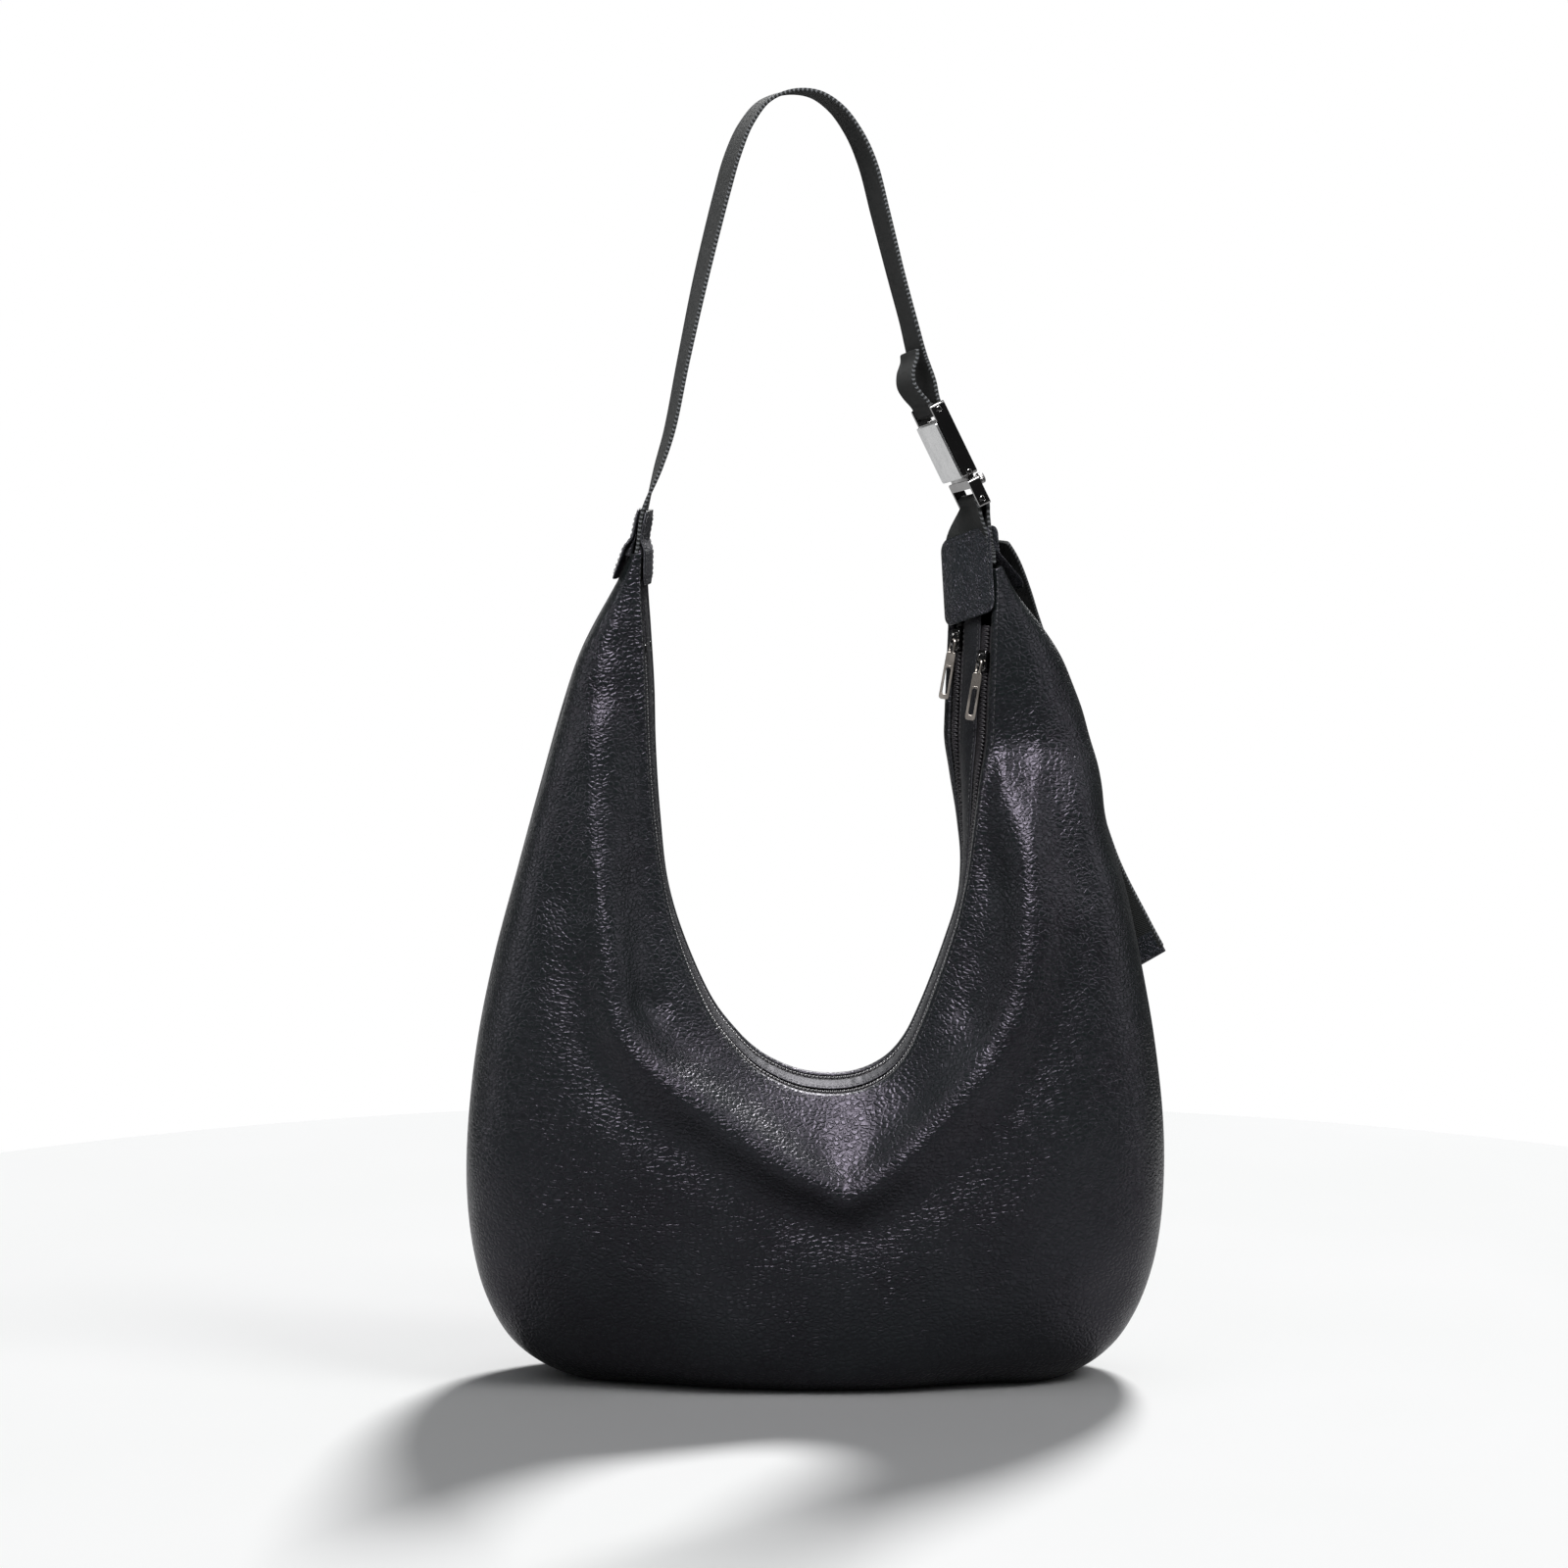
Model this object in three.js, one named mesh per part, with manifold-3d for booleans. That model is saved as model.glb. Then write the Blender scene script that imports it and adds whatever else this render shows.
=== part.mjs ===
// Hobo shoulder bag: two leather panels, two zips in the mouth band, a webbing strap with a buckle.
// Millimetres, +Z up, front towards -Y. The base rests on z = 0.
import * as THREE from 'three';
import { mergeVertices } from 'three/addons/utils/BufferGeometryUtils.js';
import Module from 'manifold-3d';

const wasm = await Module();
wasm.setup();

// ---------- driving dimensions ----------
const GAP = 0.3; // clearance between neighbouring pieces
const SHIFT = [-2.54, 0, 0]; // brings the middle of the whole bag's box to x = y = 0

// Stations round the bag from the left shoulder to the right one, in the plane of the mouth:
// mouth x, z; side seam x, z; half depth of the mouth band; share of the way out at which the
// fold lies; half depth at the fold; squareness of the section; twist of the band (degrees); seam set forward; twist at the seam
const STATIONS = [
  [-90, 441, -97.5, 440, 18.5, 0.4, 19.5, 2.3, 4, 0, 4],
  [-90.5, 424, -104, 425, 20, 0.45, 21.5, 2.3, 4, 2, 4],
  [-89, 398, -122, 393, 21.5, 0.55, 26, 2.3, 4, 5, 4],
  [-87.5, 369, -133, 361, 23, 0.58, 31, 2.3, 4, 7, 4],
  [-86.5, 336, -145, 319, 24.5, 0.5, 37, 2.4, 3, 8, 3],
  [-84, 300, -158, 272, 26, 0.4, 43, 2.4, 2, 8, 2],
  [-79, 262, -171, 224, 28, 0.34, 48, 2.4, 0, 8, 0],
  [-70, 231, -181, 172, 30.5, 0.31, 53, 2.5, 0, 8, 0],
  [-56, 199, -186, 112, 33, 0.24, 58, 2.7, 0, 6, 0],
  [-42, 180, -181, 60, 35, 0.17, 61, 2.8, 0, 3, 0],
  [-31, 169.5, -163, 20, 36, 0.145, 61, 2.8, 0, 0, 0],
  [-20, 163, -128, -0.5, 36.5, 0.145, 61, 3, 0, 0, 0],
  [-10, 159, -85, -1, 37, 0.175, 62, 4.2, 0, 0, 0],
  [0, 157, -42, -1.2, 37, 0.215, 62, 6.5, 0, 0, 0],
  [11, 156.5, 2, -1.2, 37, 0.28, 62, 8, 0, 0, 0],
  [22, 158, 44, -1.2, 37, 0.28, 62, 6.5, 0, 0, 0],
  [32, 162, 88, -1, 36.5, 0.22, 62, 4.2, 0, 0, 0],
  [41, 168.5, 130, -0.5, 36, 0.175, 61, 3, 0, 0, 0],
  [49, 179, 164, 22, 35, 0.17, 61, 2.8, 0, 0, 0],
  [56, 194, 182, 66, 33.5, 0.19, 60, 2.8, 0, 3, 0],
  [63, 212, 186, 122, 31.5, 0.24, 57, 2.6, 0, 6, 0],
  [70, 232, 181, 176, 30, 0.3, 52, 2.5, 0, 8, 0],
  [76, 252, 173, 222, 28, 0.33, 48, 2.4, 0, 8, 0],
  [79.2, 274, 164, 264, 26, 0.36, 44, 2.4, 1, 6, 1],
  [79.7, 298, 154, 298, 24.5, 0.38, 40, 2.4, 6, 4, 5],
  [79.6, 322, 152.2, 320, 23, 0.38, 36, 2.4, 15, 2, 11],
  [80.4, 345, 146.5, 345, 21.5, 0.38, 31, 2.3, 34, 0, 19],
  [81.1, 365, 141, 365, 21.5, 0.4, 29, 2.3, 34, 0, 26],
  [81.9, 385, 132.3, 386, 21.5, 0.42, 26, 2.3, 34, 0, 31],
  [82.6, 405, 115.5, 407, 21.5, 0.45, 23, 2.3, 34, 0, 34],
  [82.7, 420, 99.5, 423, 20.5, 0.45, 21.5, 2.3, 38, 0, 38],
  [82.3, 432, 89, 434, 19, 0.4, 20, 2.3, 40, 0, 40],
];
const HEM = 5; // width of the turned leather edge on the mouth band
const LEATHER = 2; // leather with its backing
const SEAM_GAP = 0.25; // each panel's distance from the seam
const LINING_DEPTH = 5.2; // from the leather's face to the lining
const LINING = 0.8;
const DIVIDER = 1.2;
const BOARD = { length: 196, width: 68, thick: 2, z: 2.5 };

const STRIP_SHARE = 0.36; // half width of the centre strip as a share of the band's
const STRIP = 1.6;
const TAPE = 0.6;
const TAPE_LEVEL = -2.65; // tape's upper face below the band's face
const COIL = { half: 2.5, top: 0.2, bottom: -2 };
const ZIP_START = 2.4; // station at which the zips begin, on the left shoulder
const ZIP_END = 28.85; // and end, under the right tab
const BAND_STEP = 31 / 36; // stations between neighbouring sections of every sheet and ribbon
const SLIDER_AT = { front: 384, rear: 393 }; // heights of the closed sliders

const WEBBING = 1.6;
const WEBBING_WIDTH = 38;
const STRAP_PIVOT_Z = 484.5;
const STRAP_CLEAR = { left: 20, right: 31.5 }; // radii that the swinging strap keeps to at the tabs

const BUCKLE = { at: [67.6, 0, 498.5], lean: -26.1, turn: 12.6, half: 22, high: 21, thick: 4 };
const BAR = { radius: 1.5, hole: 1.8, length: 43.4 };
const TOP_BAR_Z = 17.5;
const LOW_BAR_Z = -34.5;
const LINK_Z = -19;
const CAM = { x: 4.9, z: -25.2 }; // pivot of the cam lever
const LEVER = { x: 2.6, z: 6 }; // pivot of the release lever

const LOOKS = {
  leather: [0x1b1c1d, 0.5, 0],
  strip: [0x262a29, 0.55, 0],
  tab: [0x242927, 0.5, 0],
  lining: [0x2a2a2c, 0.85, 0],
  board: [0x3a352e, 0.8, 0],
  tape: [0x241d26, 0.8, 0],
  coil: [0x1c181d, 0.45, 0],
  webbing: [0x1e2322, 0.85, 0],
  gunmetal: [0x50504f, 0.22, 1],
  plate: [0xb9babb, 0.12, 1],
  pull: [0x8a8178, 0.3, 1],
};

const bag = new THREE.Group();
const v3 = (x, y, z) => new THREE.Vector3(x, y, z);
const rad = THREE.MathUtils.degToRad;

// ---------- geometry helpers ----------
function triangles(points, faces) {
  const geometry = new THREE.BufferGeometry();
  geometry.setAttribute('position', new THREE.Float32BufferAttribute(points.flatMap((p) => p.toArray()), 3));
  geometry.setIndex(faces.flat());
  return outward(geometry);
}

function outward(geometry) {
  const p = geometry.attributes.position;
  const index = geometry.index.array;
  const corner = [v3(0, 0, 0), v3(0, 0, 0), v3(0, 0, 0)];
  let volume = 0;
  for (let i = 0; i < index.length; i += 3) {
    corner.forEach((c, k) => c.fromBufferAttribute(p, index[i + k]));
    volume += corner[0].dot(corner[1].clone().cross(corner[2]));
  }
  if (volume < 0) {
    for (let i = 0; i < index.length; i += 3) [index[i], index[i + 1]] = [index[i + 1], index[i]];
  }
  geometry.computeVertexNormals();
  return geometry;
}

// Closed solid through rings of the same number of points; the end rings are convex
function loft(rings) {
  const m = rings[0].length;
  const faces = [];
  for (let i = 0; i + 1 < rings.length; i++) {
    for (let j = 0; j < m; j++) {
      const a = i * m + j;
      const b = i * m + ((j + 1) % m);
      faces.push([a, b, a + m], [b, b + m, a + m]);
    }
  }
  const last = (rings.length - 1) * m;
  for (let j = 1; j + 1 < m; j++) {
    faces.push([0, j + 1, j], [last, last + j, last + j + 1]);
  }
  return triangles(rings.flat(), faces);
}

// Unit normals of a grid of points
function gridNormals(grid) {
  const at = (i, j) => grid[Math.min(Math.max(i, 0), grid.length - 1)][Math.min(Math.max(j, 0), grid[0].length - 1)];
  return grid.map((row, i) =>
    row.map((_, j) => {
      const along = at(i + 1, j).clone().sub(at(i - 1, j)).normalize();
      const before = at(i, j).clone().sub(at(i, j - 1)).normalize();
      const after = at(i, j + 1).clone().sub(at(i, j)).normalize();
      return along.cross(before.add(after)).normalize();
    }),
  );
}

// Closed sheet between two offsets of a grid of points
function sheet(grid, near, far) {
  const normals = gridNormals(grid);
  const offset = (d) => grid.map((row, i) => row.map((p, j) => p.clone().addScaledVector(normals[i][j], d)));
  const layers = [offset(near), offset(far)];
  const n = grid.length;
  const m = grid[0].length;
  const id = (layer, i, j) => layer * n * m + i * m + j;
  const faces = [];
  const quad = (a, b, c, d) => faces.push([a, b, c], [a, c, d]);
  for (let i = 0; i + 1 < n; i++) {
    for (let j = 0; j + 1 < m; j++) {
      quad(id(0, i, j), id(0, i + 1, j), id(0, i + 1, j + 1), id(0, i, j + 1));
      quad(id(1, i, j), id(1, i, j + 1), id(1, i + 1, j + 1), id(1, i + 1, j));
    }
  }
  for (let i = 0; i + 1 < n; i++) {
    quad(id(0, i + 1, 0), id(0, i, 0), id(1, i, 0), id(1, i + 1, 0));
    quad(id(0, i, m - 1), id(0, i + 1, m - 1), id(1, i + 1, m - 1), id(1, i, m - 1));
  }
  for (let j = 0; j + 1 < m; j++) {
    quad(id(0, 0, j), id(0, 0, j + 1), id(1, 0, j + 1), id(1, 0, j));
    quad(id(0, n - 1, j + 1), id(0, n - 1, j), id(1, n - 1, j), id(1, n - 1, j + 1));
  }
  return triangles(layers.flat(2), faces);
}

function solid(geometry) {
  const g = geometry.clone();
  g.deleteAttribute('normal');
  g.deleteAttribute('uv');
  const merged = mergeVertices(g, 1e-4);
  return new wasm.Manifold(new wasm.Mesh({
    numProp: 3,
    vertProperties: new Float32Array(merged.attributes.position.array),
    triVerts: new Uint32Array(merged.index.array),
  }));
}

function cut(base, ...tools) {
  let result = solid(base);
  for (const tool of tools) result = result.subtract(solid(tool));
  return fromSolid(result);
}

function join(...pieces) {
  let result = solid(pieces[0]);
  for (const piece of pieces.slice(1)) result = result.add(solid(piece));
  return fromSolid(result);
}

function fromSolid(result) {
  const mesh = result.getMesh();
  const geometry = new THREE.BufferGeometry();
  geometry.setAttribute('position', new THREE.BufferAttribute(new Float32Array(mesh.vertProperties), 3));
  geometry.setIndex(Array.from(mesh.triVerts));
  return outward(geometry);
}

function box(x0, x1, y0, y1, z0, z1) {
  const geometry = new THREE.BoxGeometry(x1 - x0, y1 - y0, z1 - z0);
  return geometry.translate((x0 + x1) / 2, (y0 + y1) / 2, (z0 + z1) / 2);
}

function rodAlongY(radius, length, x, z, sides = 14) {
  return new THREE.CylinderGeometry(radius, radius, length, sides).translate(x, 0, z);
}

// Plate lying across X: a rounded rectangle in Y and Z
function roundedPlate(x0, x1, halfY, z0, z1, radius) {
  const shape = new THREE.Shape();
  shape.moveTo(-halfY + radius, z0);
  shape.lineTo(halfY - radius, z0);
  shape.absarc(halfY - radius, z0 + radius, radius, -Math.PI / 2, 0);
  shape.lineTo(halfY, z1 - radius);
  shape.absarc(halfY - radius, z1 - radius, radius, 0, Math.PI / 2);
  shape.lineTo(-halfY + radius, z1);
  shape.absarc(-halfY + radius, z1 - radius, radius, Math.PI / 2, Math.PI);
  shape.lineTo(-halfY, z0 + radius);
  shape.absarc(-halfY + radius, z0 + radius, radius, Math.PI, 1.5 * Math.PI);
  return acrossX(shape, x0, x1);
}

// Extrudes a shape drawn in (Y, Z) from x0 to x1
function acrossX(shape, x0, x1, curveSegments = 4) {
  const geometry = new THREE.ExtrudeGeometry(shape, { depth: x1 - x0, bevelEnabled: false, curveSegments });
  const toYZ = new THREE.Matrix4().makeBasis(v3(0, 1, 0), v3(0, 0, 1), v3(1, 0, 0));
  return geometry.applyMatrix4(toYZ).translate(x0, 0, 0);
}

function add(name, geometry, look, matrix) {
  const [color, roughness, metalness] = LOOKS[look];
  const mesh = new THREE.Mesh(geometry, new THREE.MeshStandardMaterial({ color, roughness, metalness }));
  mesh.name = name;
  if (matrix) mesh.applyMatrix4(matrix);
  bag.add(mesh);
}

// ---------- the bag's sections ----------
const smooth = (t) => t * t * (3 - 2 * t);

function stationValue(column, u, curved) {
  const i = Math.min(Math.floor(u), STATIONS.length - 2);
  const t = u - i;
  const value = (k) => STATIONS[Math.min(Math.max(k, 0), STATIONS.length - 1)][column];
  if (!curved) return THREE.MathUtils.lerp(value(i), value(i + 1), smooth(t));
  const [a, b, c, d] = [value(i - 1), value(i), value(i + 1), value(i + 2)];
  return b + 0.5 * t * (c - a + t * (2 * a - 5 * b + 4 * c - d + t * (3 * (b - c) + d - a)));
}

// Frame of the mouth band at station u: origin, along, out of the band, towards the front
function bandFrame(u) {
  const point = (w) => v3(stationValue(0, w, true), 0, stationValue(1, w, true));
  const step = 0.02;
  const origin = point(u);
  const along = point(Math.min(u + step, STATIONS.length - 1)).sub(point(Math.max(u - step, 0))).normalize();
  const twist = rad(stationValue(8, u, false));
  const seamTwist = rad(stationValue(10, u, false));
  const out = v3(-along.z, 0, along.x).applyAxisAngle(along, twist);
  const front = v3(0, -1, 0).applyAxisAngle(along, twist);
  const reach = v3(stationValue(2, u, true), 0, stationValue(3, u, true)).sub(origin);
  return { origin, along, out, front, twist, seamTwist, reach, half: stationValue(4, u, false) };
}

// Point of the bag's skin: share of the way out from the mouth, and depth towards the front
function sectionPoint(frame, share, depth) {
  const p = frame.reach.clone().multiplyScalar(share);
  p.add(v3(0, -depth, 0));
  const twist = THREE.MathUtils.lerp(frame.twist, frame.seamTwist, smooth(share));
  p.applyAxisAngle(frame.along, twist).add(frame.origin);
  p.z = Math.max(p.z, 0);
  return p;
}

const SLOPE_ROWS = [0.33, 0.67, 1];
const ROLL_ROWS = [2, 9, 22, 38, 54, 68, 79, 86, 90].map(rad);

// Section of a panel from the fold to the seam, for the front (side = 1) or the rear (side = -1)
function rollPoint(u, frame, side, angle, seamGap) {
  const fold = stationValue(5, u, false);
  const depth = stationValue(6, u, false);
  const power = 2 / stationValue(7, u, false);
  const seam = side * stationValue(9, u, false) + seamGap;
  const share = fold + (1 - fold) * Math.sin(angle) ** power;
  return sectionPoint(frame, share, side * (seam + (depth - seam) * Math.max(Math.cos(angle), 0) ** power));
}

function slopePoint(u, frame, side, t) {
  const fold = stationValue(5, u, false);
  const depth = THREE.MathUtils.lerp(frame.half, stationValue(6, u, false), t);
  return sectionPoint(frame, fold * t, side * depth);
}

function panelRow(u, side) {
  const frame = bandFrame(u);
  const row = [frame.half - HEM, frame.half].map((d) => sectionPoint(frame, 0, side * d));
  SLOPE_ROWS.forEach((t) => row.push(slopePoint(u, frame, side, t)));
  ROLL_ROWS.forEach((angle) => row.push(rollPoint(u, frame, side, angle, SEAM_GAP)));
  return row;
}

function liningRow(u, side) {
  const frame = bandFrame(u);
  const row = [0.34, 1].map((t) => slopePoint(u, frame, side, t));
  [12, 32, 52, 70, 82, 90].forEach((a) => row.push(rollPoint(u, frame, side, rad(a), 1.4)));
  return row;
}

const spread = (from, to, count) => Array.from({ length: count + 1 }, (_, i) => from + ((to - from) * i) / count);
const LAST = STATIONS.length - 1;

// Both ends and the common sections between them, so that neighbouring pieces bend alike
function stationsBetween(from, to) {
  const inner = spread(0, LAST, Math.round(LAST / BAND_STEP)).filter((u) => u > from + 0.2 && u < to - 0.2);
  return [from, ...inner, to];
}
const SIDES = [['front', 1], ['rear', -1]];

for (const [name, side] of SIDES) {
  const panel = stationsBetween(0, LAST).map((u) => panelRow(u, side));
  add(`${name}_panel`, sheet(panel, 0, side * LEATHER), 'leather');
  const lining = stationsBetween(4, 26).map((u) => liningRow(u, side));
  add(`${name}_lining`, sheet(lining, side * LINING_DEPTH, side * (LINING_DEPTH + LINING)), 'lining');
}

// ---------- divider, slip pocket and base board ----------
const DIVIDER_TOP = 3; // below the mouth band's face
const dividerGrid = stationsBetween(5, 25).map((u) => {
  const frame = bandFrame(u);
  const length = frame.reach.length();
  return spread(DIVIDER_TOP / length, 1 - 14 / length, 4).map((share) => {
    const p = sectionPoint(frame, share, 0);
    p.z = Math.max(p.z, 9);
    return p;
  });
});
add('divider', sheet(dividerGrid, -DIVIDER / 2, DIVIDER / 2), 'lining');
add('slip_pocket', box(-62, 78, DIVIDER / 2 + GAP, DIVIDER / 2 + GAP + 1, 24, 122), 'lining');

function lensOutline(length, width) {
  const shape = new THREE.Shape();
  shape.absellipse(0, 0, length / 2, width / 2, 0, 2 * Math.PI);
  return shape;
}
const board = new THREE.ExtrudeGeometry(lensOutline(BOARD.length, BOARD.width), {
  depth: BOARD.thick,
  bevelEnabled: false,
  curveSegments: 20,
});
add('base_board', board.translate(0, 0, BOARD.z), 'board');

// ---------- mouth band: centre strip and two zips ----------
// Ribbon along the band between two places across it and two levels, each as functions of the frame
function bandRibbon(from, to, across, levels) {
  const rings = stationsBetween(from, to).map((u) => {
    const frame = bandFrame(u);
    const [w0, w1] = across(frame);
    return [[w0, levels[0]], [w1, levels[0]], [w1, levels[1]], [w0, levels[1]]].map(([w, n]) =>
      frame.origin.clone().addScaledVector(frame.front, w).addScaledVector(frame.out, n),
    );
  });
  return loft(rings);
}

const zipCentre = (frame) => (STRIP_SHARE * frame.half + frame.half - HEM) / 2;
add('centre_strip', bandRibbon(0.9, LAST - 0.5, (f) => [-STRIP_SHARE * f.half, STRIP_SHARE * f.half],
  [-STRIP, 0]), 'strip');

for (const [name, side] of SIDES) {
  const tapeLevels = [TAPE_LEVEL - TAPE, TAPE_LEVEL];
  const outerTape = (f) => [side * (zipCentre(f) + GAP), side * (f.half - LEATHER - 1.2)];
  const innerTape = (f) => [side * (STRIP_SHARE * f.half - 4), side * (zipCentre(f) - GAP)];
  const coil = (f) => [side * (zipCentre(f) - COIL.half), side * (zipCentre(f) + COIL.half)];
  const stop = (f) => [side * (zipCentre(f) - 3), side * (zipCentre(f) + 3)];
  add(`${name}_zip_tape_outer`, bandRibbon(ZIP_START - 0.6, ZIP_END, outerTape, tapeLevels), 'tape');
  add(`${name}_zip_tape_inner`, bandRibbon(ZIP_START - 0.6, ZIP_END, innerTape, tapeLevels), 'tape');
  add(`${name}_zip_coil`, bandRibbon(ZIP_START, ZIP_END, coil, [COIL.bottom, COIL.top]), 'coil');
  add(`${name}_zip_stop`, bandRibbon(ZIP_START - 0.2, ZIP_START - 0.02, stop, [-2, 0.6]), 'gunmetal');
}

// ---------- sliders and pulls ----------
const SLIDER = { half: 3.4, length: 11, floor: 0.55, plate: 1, flange: 0.55, bridge: 4.5, wire: 0.9 };
const PULL = { pivot: 2.6, length: 32, half: 2.75, thick: 1.2, eye: 1.3, tilt: 9 };

function sliderGeometry() {
  const { half, length, floor, plate, flange, bridge, wire } = SLIDER;
  const top = floor + plate;
  const body = roundedPlate(floor, top, half, -length / 2, length / 2, 1.5);
  const flanges = [-1, 1].map((s) =>
    box(-1.6, top - 0.2, Math.min(s * half, s * (half - flange)), Math.max(s * half, s * (half - flange)), -4, 4));
  const arch = cut(box(top - 0.2, bridge, -wire, wire, -4, 4), box(0, bridge - wire, -2, 2, -3.1, 3.1));
  return join(body, ...flanges, arch);
}

function pullGeometry() {
  const { length, half, thick, eye } = PULL;
  const body = roundedPlate(-thick / 2, thick / 2, half, -length, thick / 2, 0.55);
  const eyeHole = box(-2, 2, -eye, eye, -6.5, -thick / 2);
  const window = box(-2, 2, -1.2, 1.2, -28.5, -15);
  return cut(body, eyeHole, window);
}

function stationAtHeight(z) {
  let low = 24;
  let high = LAST;
  for (let i = 0; i < 40; i++) {
    const middle = (low + high) / 2;
    if (stationValue(1, middle, true) < z) low = middle;
    else high = middle;
  }
  return low;
}

export const report = {};
for (const [name, side] of SIDES) {
  const frame = bandFrame(stationAtHeight(SLIDER_AT[name]));
  const axes = new THREE.Matrix4().makeBasis(frame.out, frame.front, frame.along);
  const place = frame.origin.clone().addScaledVector(frame.front, side * zipCentre(frame));
  const onBand = axes.clone().setPosition(place);
  add(`${name}_slider`, sliderGeometry(), 'gunmetal', onBand);
  const hang = new THREE.Matrix4().makeTranslation(PULL.pivot, 0, 0)
    .multiply(new THREE.Matrix4().makeRotationY(rad(-PULL.tilt)));
  add(`${name}_pull`, pullGeometry(), 'pull', onBand.clone().multiply(hang));
  report[`${name}_slider`] = { place, along: frame.along, out: frame.out, front: frame.front };
}

// ---------- leather tabs at the shoulders ----------
function frameAt(origin, up, front) {
  const z = up.clone().normalize();
  const y = front.clone().negate().addScaledVector(z, front.dot(z)).normalize();
  return new THREE.Matrix4().makeBasis(y.clone().cross(z), y, z).setPosition(origin);
}

// Patch in the tab's frame: rounded corners, with its inner face at lift(z) from the middle plane
function patch(z0, z1, halfWidth, side, lift) {
  const radius = 6;
  const steps = [0, 0.08, 0.3, 1];
  const heights = [...steps.map((t) => z0 + t * radius), ...spread(z0 + radius, z1 - radius, 8).slice(1, -1),
    ...steps.map((t) => z1 - t * radius).reverse()];
  const rings = heights.map((z) => {
    const t = Math.max(0, radius - Math.min(z - z0, z1 - z)) / radius;
    const half = halfWidth - radius + radius * Math.sqrt(1 - Math.min(t, 0.98) ** 2);
    const [near, far] = [side * lift(z), side * (lift(z) + LEATHER)];
    return [v3(near, -half, z), v3(near, half, z), v3(far, half, z), v3(far, -half, z)];
  });
  return loft(rings);
}

const leftTab = frameAt(v3(-97, 0, 425), v3(7.5, 0, 39), v3(-0.07, -1, 0));
const leftLift = (z) => 1.2 + 6.2 * Math.max(0, 1 - z / 40) ** 1.15;
add('left_tab_inner', patch(0, 38.5, 21.5, 1, leftLift), 'tab', leftTab);
add('left_tab_outer', patch(0, 38.5, 21.5, -1, leftLift), 'tab', leftTab);
add('left_webbing_root', box(-WEBBING / 2, WEBBING / 2, -19, 19, 18.5, 38), 'webbing', leftTab);

const rightTab = frameAt(v3(82.4, 0.3, 430), v3(-0.06, 0.04, 1), v3(0.6, -0.8, 0.14));
const rightOuterLift = (z) => 1.2 + Math.max(0, 9.5 - z) * 0.98;
add('right_tab_inner', patch(-25, 20.5, 22, -1, () => 2), 'tab', rightTab);
add('right_tab_outer', patch(-13, 20.5, 22, 1, rightOuterLift), 'tab', rightTab);
add('right_webbing_root', box(-WEBBING / 2, WEBBING / 2, -19, 19, 4.5, 20), 'webbing', rightTab);

// ---------- webbing ----------
// Band of webbing through points; each has its place, its width direction and its half width
function webbing(points, steps, thick = WEBBING) {
  const path = new THREE.CatmullRomCurve3(points.map((p) => p.at), false, 'centripetal');
  const last = points.length - 1;
  const rings = spread(0, 1, steps).map((t) => {
    const at = path.getPoint(t);
    const along = path.getTangent(t);
    const i = Math.min(Math.floor(t * last), last - 1);
    const mix = t * last - i;
    const wide = points[i].wide.clone().lerp(points[i + 1].wide, mix);
    wide.addScaledVector(along, -wide.dot(along)).normalize();
    const flat = along.clone().cross(wide).normalize();
    const half = THREE.MathUtils.lerp(points[i].half, points[i + 1].half, mix);
    return [[-half, -1], [half, -1], [half, 1], [-half, 1]].map(([w, n]) =>
      at.clone().addScaledVector(wide, w).addScaledVector(flat, (n * thick) / 2));
  });
  return loft(rings);
}

// Turned webbing round a bar along Y: an open loop in X and Z, legs of the given lengths upwards
function barLoop(z, direction, leg) {
  const inner = BAR.radius + 0.35;
  const outer = inner + WEBBING;
  const shape = new THREE.Shape();
  shape.moveTo(-outer, leg[0]);
  shape.lineTo(-outer, 0);
  shape.absarc(0, 0, outer, Math.PI, 2 * Math.PI, false);
  shape.lineTo(outer, leg[1]);
  shape.lineTo(inner, leg[1]);
  shape.lineTo(inner, 0);
  shape.absarc(0, 0, inner, 2 * Math.PI, Math.PI, true);
  shape.lineTo(-inner, leg[0]);
  const geometry = new THREE.ExtrudeGeometry(shape, { depth: WEBBING_WIDTH, bevelEnabled: false, curveSegments: 9 });
  geometry.translate(0, 0, -WEBBING_WIDTH / 2).rotateX(Math.PI / 2);
  if (direction < 0) geometry.rotateY(Math.PI);
  return geometry.translate(0, 0, z);
}

const buckleFrame = new THREE.Matrix4().makeTranslation(...BUCKLE.at)
  .multiply(new THREE.Matrix4().makeRotationY(rad(BUCKLE.lean)))
  .multiply(new THREE.Matrix4().makeRotationZ(rad(BUCKLE.turn)));
const inBuckle = (x, y, z) => v3(x, y, z).applyMatrix4(buckleFrame);

// Solid disc across X that a swinging end of webbing is rounded to
function swingDisc(x0, x1, radius) {
  const disc = new THREE.CylinderGeometry(radius, radius, x1 - x0, 72);
  return disc.rotateZ(Math.PI / 2).translate((x0 + x1) / 2, 0, STRAP_PIVOT_Z);
}

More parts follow.
